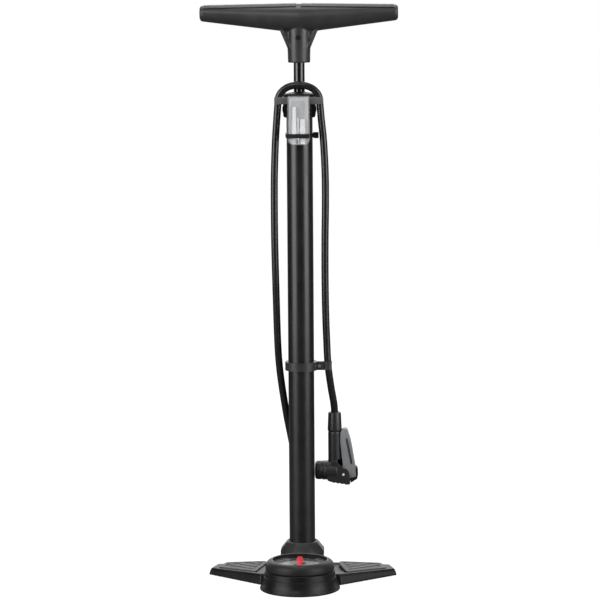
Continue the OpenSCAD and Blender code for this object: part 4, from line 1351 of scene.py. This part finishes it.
@dataclass
class Gauge:
    """The pressure gauge's bezel, dial and target marker.

    Attributes:
        centre_y: Where its axis stands, in millimetres as all sizes here.
        face_z: Height of the dial's face.
        face_r: Radius of the dial.
        band_r: Inner radius of the dial's dark band.
        start: Direction of the scale's zero, in degrees from +X.
        sweep: How far the scale runs round, in degrees.
        full: Highest number of the outer scale.
        drop: How much lower the print inside the dark band lies.
    """

    centre_y: float = -62.5
    face_z: float = 26.8
    face_r: float = 30.8
    band_r: float = 22.0
    start: float = 225.0
    sweep: float = 270.0
    full: int = 160
    drop: float = 0.03

    def direction(self, share: float) -> float:
        """Find the direction of a share of the scale, in degrees."""
        return self.start - self.sweep * share

    def bezel(self) -> None:
        """Turn the bezel, with a narrow flat crest."""
        ring = Bench.ring("bezel_ring", [
            (31, 16), (32.9, 16), (32.9, 21.9), (36.6, 21.9), (37.2, 22.2), (37.5, 22.9), (37.5, 26.2),
            *arc((30.4, 26), 6.95, 6, 84, 12), (31.0, 33.0), (30.2, 33.0), (29.9, 32.9), (29.9, 31.3), (31, 31.2),
        ], 128)
        # the lip gets the darker black: painted shade on the bezel's inner slope
        lip = Bench.ring("bezel_lip", [(29.95, 32.85), (29.3, 32.3), (28.7, 31.7), (28.5, 31.22), (30.9, 31.22)], 128)
        # the crest ring gets a pale grey: a painted highlight along the bezel's top edge
        crest = Bench.ring("bezel_crest", [
            (30.0, 32.9), (30.05, 33.08), (30.25, 33.17), (30.5, 33.12), (30.6, 32.9),
        ], 128)
        for piece, finish in ((ring, BEZEL_BLACK), (lip, LIP_PAINTED_SHADE), (crest, CREST_PAINTED_HIGHLIGHT)):
            Bench.place(piece, (0, self.centre_y, 0))
            ride(Bench.smooth(piece, 22), "root", finish, "bezel", "gauge_bezel")

    def ticks(self, inner: float, outer: float, width: float, count: int) -> Piece:
        """Lay a row of ticks round the dial.

        Args:
            inner: Distance of their inner ends from the axis.
            outer: Distance of their outer ends.
            width: Width of a tick.
            count: Number of ticks from the scale's zero to its end.

        Returns:
            The ticks, about the origin.
        """
        tick = Bench.slab("tick", box(inner, -width / 2, outer, width / 2), 0, 0.03, upright=False)
        return Bench.fan(tick, [(0, 0, self.direction(i / (count - 1))) for i in range(count)])

    def figures(self, radius: float, size: float, numbers: list[int], full: int) -> Piece:
        """Write a row of plain numbers round the dial.

        Args:
            radius: Distance of the numbers from the axis.
            size: Height of the type.
            numbers: The numbers to write.
            full: The number at the scale's end.

        Returns:
            The numbers, about the origin.
        """
        pieces = []
        for number in numbers:
            Bench.clear()
            bpy.ops.object.text_add(location=(0, 0, 0))
            figure = bpy.context.object
            figure.data.body = str(number)
            figure.data.size = size * MM
            figure.data.align_x = figure.data.align_y = "CENTER"
            figure.data.extrude = 0.00001
            bpy.ops.object.convert(target="MESH")
            way = math.radians(self.direction(number / full))
            place = (radius * math.cos(way), radius * math.sin(way), 0)
            pieces.append(Bench.place(figure, place, (0, 0, math.degrees(way) - 90)))
        return Bench.join(*pieces)

    def dial(self) -> None:
        """Print the dial: silver inside, a dark band outside, ticks and plain numbers."""
        face = Bench.ring("dial_face", box(1.8, -0.8, self.face_r, 0))
        band = Bench.ring("dial_band", box(self.band_r, -0.02, self.face_r - 0.05, Layer.BAND.value))
        # the pale rim ring shows through the window as a thin bright arc behind: a painted highlight
        rim = Bench.ring("dial_rim_painted_highlight", box(29.3, 0, 30.7, 0.2))
        ticks = self.ticks(25.6, 28.2, 0.45, 17)
        figures = self.figures(23.8, 2.6, list(range(0, self.full + 1, 20)), self.full)
        Bench.place(ticks, (0, 0, Layer.TICKS.value))
        Bench.place(figures, (0, 0, Layer.FIGURES.value))
        # pale print of the scale, and the rim ring's painted highlight, in one piece
        pale = Bench.join(rim, ticks, figures)
        dark = Bench.place(self.ticks(19.2, 21.4, 0.5, 12), (0, 0, Layer.TICKS.value - self.drop))
        red = Bench.place(self.figures(16.6, 3.0, list(range(12)), 11), (0, 0, Layer.FIGURES.value - self.drop))
        for piece, name, finish in (
            (face, "dial_face", DIAL_SILVER), (band, "dial_band", DIAL_DARK), (pale, "dial_scale_and_painted_highlight", DIAL_PALE),
            (dark, "dial_ticks", DIAL_DARK), (red, "dial_figures", DIAL_RED),
        ):
            piece.name = name
            Bench.place(piece, (0, self.centre_y, self.face_z))
            ride(piece, "root", finish, "dial", "gauge_dial")

    def marker(self) -> None:
        """Shape the red marker: a disc with a curved grip ridge and a pointer."""
        ridge = Bench.slab("ridge", [
            (-21, 0), (-21, 1.2), *arc((0, -42), 45.6, 104, 78, 10), (15, 1.4), (15, 0),
        ], -2.7, 2.7)
        Bench.bevel(ridge, 0.5, 3)
        Bench.place(ridge, (0, 0, 31.4), (0, 0, 90))
        disc = Bench.ring("disc", [(1.2, 31.3), (4.2, 31.3), (4.2, 32.3), (4.0, 32.5), (1.2, 32.5)], 48)
        tip = [(-3.3, -20), (3.3, -20), (3.5, -24.6), (-3.5, -24.6)]
        pointer = Bench.slab("pointer", tip, 31.4, 32.2, upright=False)
        marker = Bench.join(ridge, disc, Bench.bevel(pointer, 0.2, 2))
        marker.name = "marker_body"
        Bench.place(marker, (0, self.centre_y, 0), (0, 0, 3))
        ride(Bench.smooth(marker, 35), "marker", MARKER_RED, "marker", "target_marker")

    def build(self) -> None:
        """Build the bezel, the dial and the marker."""
        self.bezel()
        self.dial()
        self.marker()


# ---------- barrel cap, hose clip and case ----------


@dataclass
class Cap:
    """The cap on the barrel, with a lug and an ear that holds the hose on each side.

    Attributes:
        low: Height of its lower edge, in millimetres as all sizes here.
        top: Height of its top.
        ear_z: Lower and upper edge of the ears.
        hose_at: Where the hose passes, to the side and forward.
    """

    low: float = 511.0
    top: float = 538.7
    ear_z: Pair = (525.8, 533.5)
    hose_at: Pair = (22.8, -11.0)

    def ear(self, side: int) -> Piece:
        """Shape one ear: the arm, the flat front plate and the hook round the hose.

        Args:
            side: 1 for the right ear, -1 for the left one.

        Returns:
            The ear in its place.
        """
        x, y = self.hose_at
        ear = Bench.slab("ear", [
            (9, -15.2), (12, -17.3), (26.2, -17.3), (26.8, -15.2), (x + 2.6, -15.2),
            *arc((x, y), 4.1, -58, -238, 14), (x - 1.2, y + 5.4), (19.4, -7), (12, 2),
        ], *self.ear_z, upright=False)
        Bench.bevel(ear, 0.45, 3, 50)
        return Bench.mirror(ear) if side < 0 else ear

    def lug(self, side: int) -> Piece:
        """Shape one snap lug, which swells half way up.

        Args:
            side: 1 for the right lug, -1 for the left one.

        Returns:
            The lug in its place.
        """
        lug = Bench.slab("lug", [
            (15.5, 512), (17.4, 512), (17.7, 515.5), (18.5, 518.5), (18.5, 521.5), (17.6, 525), (15.5, 525),
        ], -4, 4)
        Bench.bevel(lug, 0.35, 2, 50)
        return Bench.place(lug, (0, 0, 0), (0, 0, 0 if side > 0 else 180))

    def build(self) -> None:
        """Turn the cap and add its lugs and ears."""
        low = self.low
        cap = Bench.ring("cap_body", [
            (14.35, low), (16.2, low), (16.8, low + 0.3), (17, low + 0.9), (17, 517), (17.2, 518), (17.8, 519),
            (17.9, 519.6), (17.9, 533.4), *arc((15.4, 534.6), 2.5, 0, 76, 6), (12, 537.9), (8.6, 538.3),
            (7.8, self.top - 0.2), (7.4, self.top), (6.3, self.top), (6.3, 532), (14.35, 524.1),
        ])
        cap = Bench.join(cap, *(self.lug(side) for side in (-1, 1)))
        cap.name = "cap_shell"
        ride(Bench.smooth(cap, 35), "root", CAP_BLACK, "cap", "barrel_cap")
        ears = Bench.join(*(self.ear(side) for side in (-1, 1)))
        ears.name = "cap_ears"
        ride(Bench.smooth(ears, 35), "root", EAR_GREY, "cap", "barrel_cap")


@dataclass
class Case:
    """The see-through accessory case in front of the barrel.

    Attributes:
        left: Its left side, in millimetres as all sizes here.
        right: Its right side.
        low: Its lower edge.
        high: Its upper edge.
        front: Its front face.
        back: Its back face in front of the cap.
        deep_z: Height below which it reaches back to the barrel.
        deep: Its back face there.
    """

    left: float = -11.8
    right: float = 12.2
    low: float = 482.0
    high: float = 535.0
    front: float = -27.5
    back: float = -18.7
    deep_z: float = 509.4
    deep: float = -14.85

    def outline(self, margin: float) -> Outline:
        """Draw the case from the front: square above and rounded below.

        Args:
            margin: How far inside its edge.

        Returns:
            The outline's points.
        """
        round_low, round_top = 6 - margin * 0.8, 1.2
        x0, x1 = self.left + margin, self.right - margin
        z0, z1 = self.low + margin, self.high - margin
        return [
            *arc((x0 + round_low, z0 + round_low), round_low, 180, 270, 8),
            *arc((x1 - round_low, z0 + round_low), round_low, 270, 360, 8),
            *arc((x1 - round_top, z1 - round_top), round_top, 0, 90, 3),
            *arc((x0 + round_top, z1 - round_top), round_top, 90, 180, 3),
        ]

    def shell(self) -> Piece:
        """Hollow the clear shell and round its edges.

        Returns:
            The shell.
        """
        shell = Bench.slab("case_shell", self.outline(0), self.front, self.back)
        Bench.bevel(shell, 0.8, 3, 50)
        return Bench.cut(shell, Bench.slab("room", self.outline(1.3), self.front + 1, self.back - 0.9))

    def build(self) -> None:
        """Make the shell, its pale back and the ribs below the strap."""
        shell = self.shell()
        line = [(x, z) for x, z in self.outline(0.05) if z < 500]
        line += [(self.right - 0.05, self.deep_z), (self.left + 0.05, self.deep_z)]
        low = Bench.slab("case_low", line, self.back - 0.02, self.deep)
        Bench.bevel(low, 0.4, 2, 50)
        shell = Bench.join(shell, low)
        shell.name = "case_shell"
        ride(Bench.smooth(shell, 40), "root", CLEAR_CASE, "case", "accessory_case")
        back = Bench.bevel(Bench.slab("case_back", self.outline(1.5), self.back - 1.3, self.back - 0.95), 0.1, 1)
        ribs = [
            Bench.bevel(Bench.slab("rib", box(x, 483.4, x + wide, 488.4), self.front, self.front + 0.5), 0.12, 1)
            for x, wide in ((-6.4, 0.5), (-3.7, 0.5), (-1.4, 1.6))
        ]
        back = Bench.join(back, *ribs)
        back.name = "case_back"
        ride(Bench.smooth(back, 40), "root", CASE_BACK, "case", "accessory_case")


# ---------- pump head ----------


@dataclass
class Head:
    """The pump head: body with two cheeks, nozzle nut, sleeve and thumb lever.

    Attributes:
        x: Where its axis stands, to the right, in millimetres as all sizes here.
        y: Where its axis stands, backwards.
        nozzle_z: Height of the nozzle's axis.
        pivot: Place of the lever's pin, from the axis and above the floor.
        neck_r: Radius of its neck.
        slot: Half the width of the lever's slot.
        cheek_thick: Thickness of a cheek.
        lever_half: Half the width of the lever.
    """

    x: float = 36.2
    y: float = 12.0
    nozzle_z: float = 118.0
    pivot: Pair = (9.7, 114.5)
    neck_r: float = 7.4
    slot: float = 6.7
    cheek_thick: float = 2.7
    lever_half: float = 6.3

    def along(self, name: str, profile: Outline, steps: int = 72) -> Piece:
        """Turn a profile about the nozzle's axis; heights in it run towards +X."""
        return Bench.place(Bench.lathe(name, profile, steps), (0, 0, self.nozzle_z), (0, 90, 0))

    def across(self, name: str, radius: float, half: float, steps: int) -> Piece:
        """Make a rod along the lever's pin."""
        return Bench.place(Bench.rod(name, radius, -half, half, steps), (self.pivot[0], 0, self.pivot[1]), (90, 0, 0))

    def cheek(self) -> Outline:
        """Draw a cheek from the front, with five scallops along its lower edge.

        Returns:
            The outline's points.
        """
        edge = []
        for i in range(5):
            cx, cz = -4 + 4.6 * i, 102.9 - 0.72 * i
            edge += arc((cx, cz), 3.2, 134 if i else 100, 34, 6)
        return [
            (-8.4, 109), (-7, 107), *edge, (16.2, 103.4), (17.4, 104.3), (16.7, 112), (16.2, 115), (13.6, 118),
            (1.8, 129), (-2, 129),
        ]

    def body(self) -> None:
        """Melt the neck, the nozzle's drum and the cheeks together, and cut the lever's slot."""
        neck = Bench.lathe("neck", [
            (0, 109), (self.neck_r, 109), (self.neck_r, 160.6), (7.0, 161.2), (7.2, 162.0), (0, 162.05),
        ], 64)
        drum = self.along("drum", [
            (0, -18.3), (8.5, -18.3), (8.5, -14.2), (10.3, -14.2), (10.8, -13.7), (10.8, -11.2), (10.45, -10.9),
            (10.45, -10.3), (10.8, -10.0), (10.8, 1.8), (10.2, 2.4), (0, 2.4),
        ])
        # the rear cheek stands higher, behind the lever's corner
        tall = [(16.2, 115), (14.5, 118.5), (9.4, 134), (3, 137), (-2, 137)]
        rear = [p for p in self.cheek() if p[1] < 114] + tall
        cheeks = [
            Bench.bevel(Bench.slab("cheek", outline, low, low + self.cheek_thick), 0.5, 2, 60)
            for outline, low in ((rear, self.slot), (self.cheek(), -self.slot - self.cheek_thick))
        ]
        floor = Bench.slab("floor", box(-8, 107, 0.6, 116), -self.slot - 1, self.slot + 1)
        body = Bench.join(neck, drum, *cheeks, floor)
        Bench.fuse(body, 0.42, 2)
        slot = Bench.slab("slot", box(3, 90, 40, 131), -self.slot, self.slot)
        chamber = self.along("chamber", [(0, -30), (7.2, -30), (7.2, 4), (0, 4)], 48)
        way = Bench.lathe("way", [(0, 119), (1.8, 119), (1.8, 149.6), (3.55, 149.6), (3.55, 170), (0, 170)], 32)
        pin = self.across("pin", 1.5, 20, 32)
        Bench.cut(body, slot, Bench.join(chamber, pin), way)
        body.name = "head_shell"
        Bench.place(body, (self.x, self.y, 0))
        ride(Bench.smooth(body, 45), "head", HEAD_BLACK, "head", "head_body")

    def nut(self) -> None:
        """Turn the nozzle nut and cut its grip grooves."""
        nut = self.along("nut", [
            (4, -22), (7.4, -22), (8.55, -21.77), (9.52, -21.12), (10.17, -20.15),
            (10.4, -19), (10.4, -14.9), (10.1, -14.45), (7.3, -14.45), (7.3, -19.5), (4, -19.5), (4, -22),
        ], 96)
        groove = Bench.slab("groove", box(-19.2, 10.05, -15.2, 12), -0.45, 0.45)
        grooves = Bench.fan(groove, [(15 * i, 0, 0) for i in range(24)])
        Bench.cut(nut, Bench.place(grooves, (0, 0, self.nozzle_z)))
        nut.name = "nut_shell"
        Bench.place(nut, (self.x, self.y, 0))
        ride(Bench.smooth(nut, 35), "head", HEAD_BLACK, "head", "nozzle_nut")

    def sleeve(self) -> None:
        """Turn the sleeve round the hose's end."""
        sleeve = Bench.ring("sleeve", [
            (5.35, 162.2), (7.35, 162.2), (7.7, 162.6), (7.88, 163.8), (7.85, 165.2), (7.12, 182.3), (6.9, 183.0),
            (6.3, 183.38), (4.5, 183.4), (4.35, 183.2), (4.35, 179.5), (5.35, 179.4),
        ], 64)
        sleeve.name = "sleeve_shell"
        Bench.place(sleeve, (self.x, self.y, 0))
        ride(Bench.smooth(sleeve, 30), "head", HEAD_BLACK, "head", "hose_sleeve")

    def lever(self) -> None:
        """Cut the thumb lever, break its edges and let its dark inlay in."""
        lever = Bench.slab("lever_shell", [
            (9.2, 165.3), (12.6, 165.5), (13.7, 164.9), (14.3, 163.6), (17.6, 152.5), (19.4, 143), (21, 133),
            (23.2, 121), (23.9, 111.5), (15.9, 109.8), (10.2, 108.3), (4.2, 112.8), (9, 124.5), (6.35, 150),
            (6.5, 160), (7.4, 162.9),
        ], -self.lever_half, self.lever_half)
        Bench.bevel(lever, 1.1, 4, 30)
        hub = self.across("hub", 6.3, 9, 64)
        neck = Bench.lathe("neck_room", [(0, 105), (7.9, 105), (7.9, 160), (8.3, 160), (8.3, 170), (0, 170)], 64)
        slot = Bench.slab("slot", self.inlay(1.3), -10, 10)
        Bench.cut(lever, hub, neck, slot)
        Bench.place(lever, (self.x, self.y, 0))
        ride(Bench.smooth(lever, 30), "lever", LEVER_SILVER, "lever", "head_lever")
        inlay = Bench.slab("inlay_shell", self.inlay(1.28), -self.lever_half + 0.35, self.lever_half - 0.35)
        Bench.bevel(inlay, 0.25, 2, 50)
        Bench.place(inlay, (self.x, self.y, 0))
        ride(Bench.smooth(inlay, 40), "lever", INLAY_DARK, "lever_inlay", "lever_insert")

    def inlay(self, r: float) -> Outline:
        """Draw the long slot of the lever's inlay with a given half width."""
        return [*arc((13.4, 153.6), r, 11, 191, 8), *arc((18.6, 127), r, 191, 371, 8)]

    def build(self) -> None:
        """Build every piece of the head."""
        self.body()
        self.nut()
        self.sleeve()
        self.lever()


def dress_nodes() -> None:
    """Give every CAD node its procedural finish."""
    for node, finish in NODE_FINISHES.items():
        dress(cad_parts[node], finish)
    left = sorted(set(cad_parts) - set(NODE_FINISHES))
    if left:
        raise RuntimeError(f"no finish for {left}")


def main() -> None:
    """Build the studio and the pump, piece by piece."""
    logging.basicConfig(level=logging.INFO, format="%(message)s")
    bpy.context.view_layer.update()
    Studio().build()
    HoseRun().build()
    Handle().build()
    Base().build()
    Tread(1).build()
    Tread(-1).build()
    Collar().build()
    Gauge().build()
    Cap().build()
    Case().build()
    Head().build()
    dress_nodes()


if __name__ == "__main__":
    main()
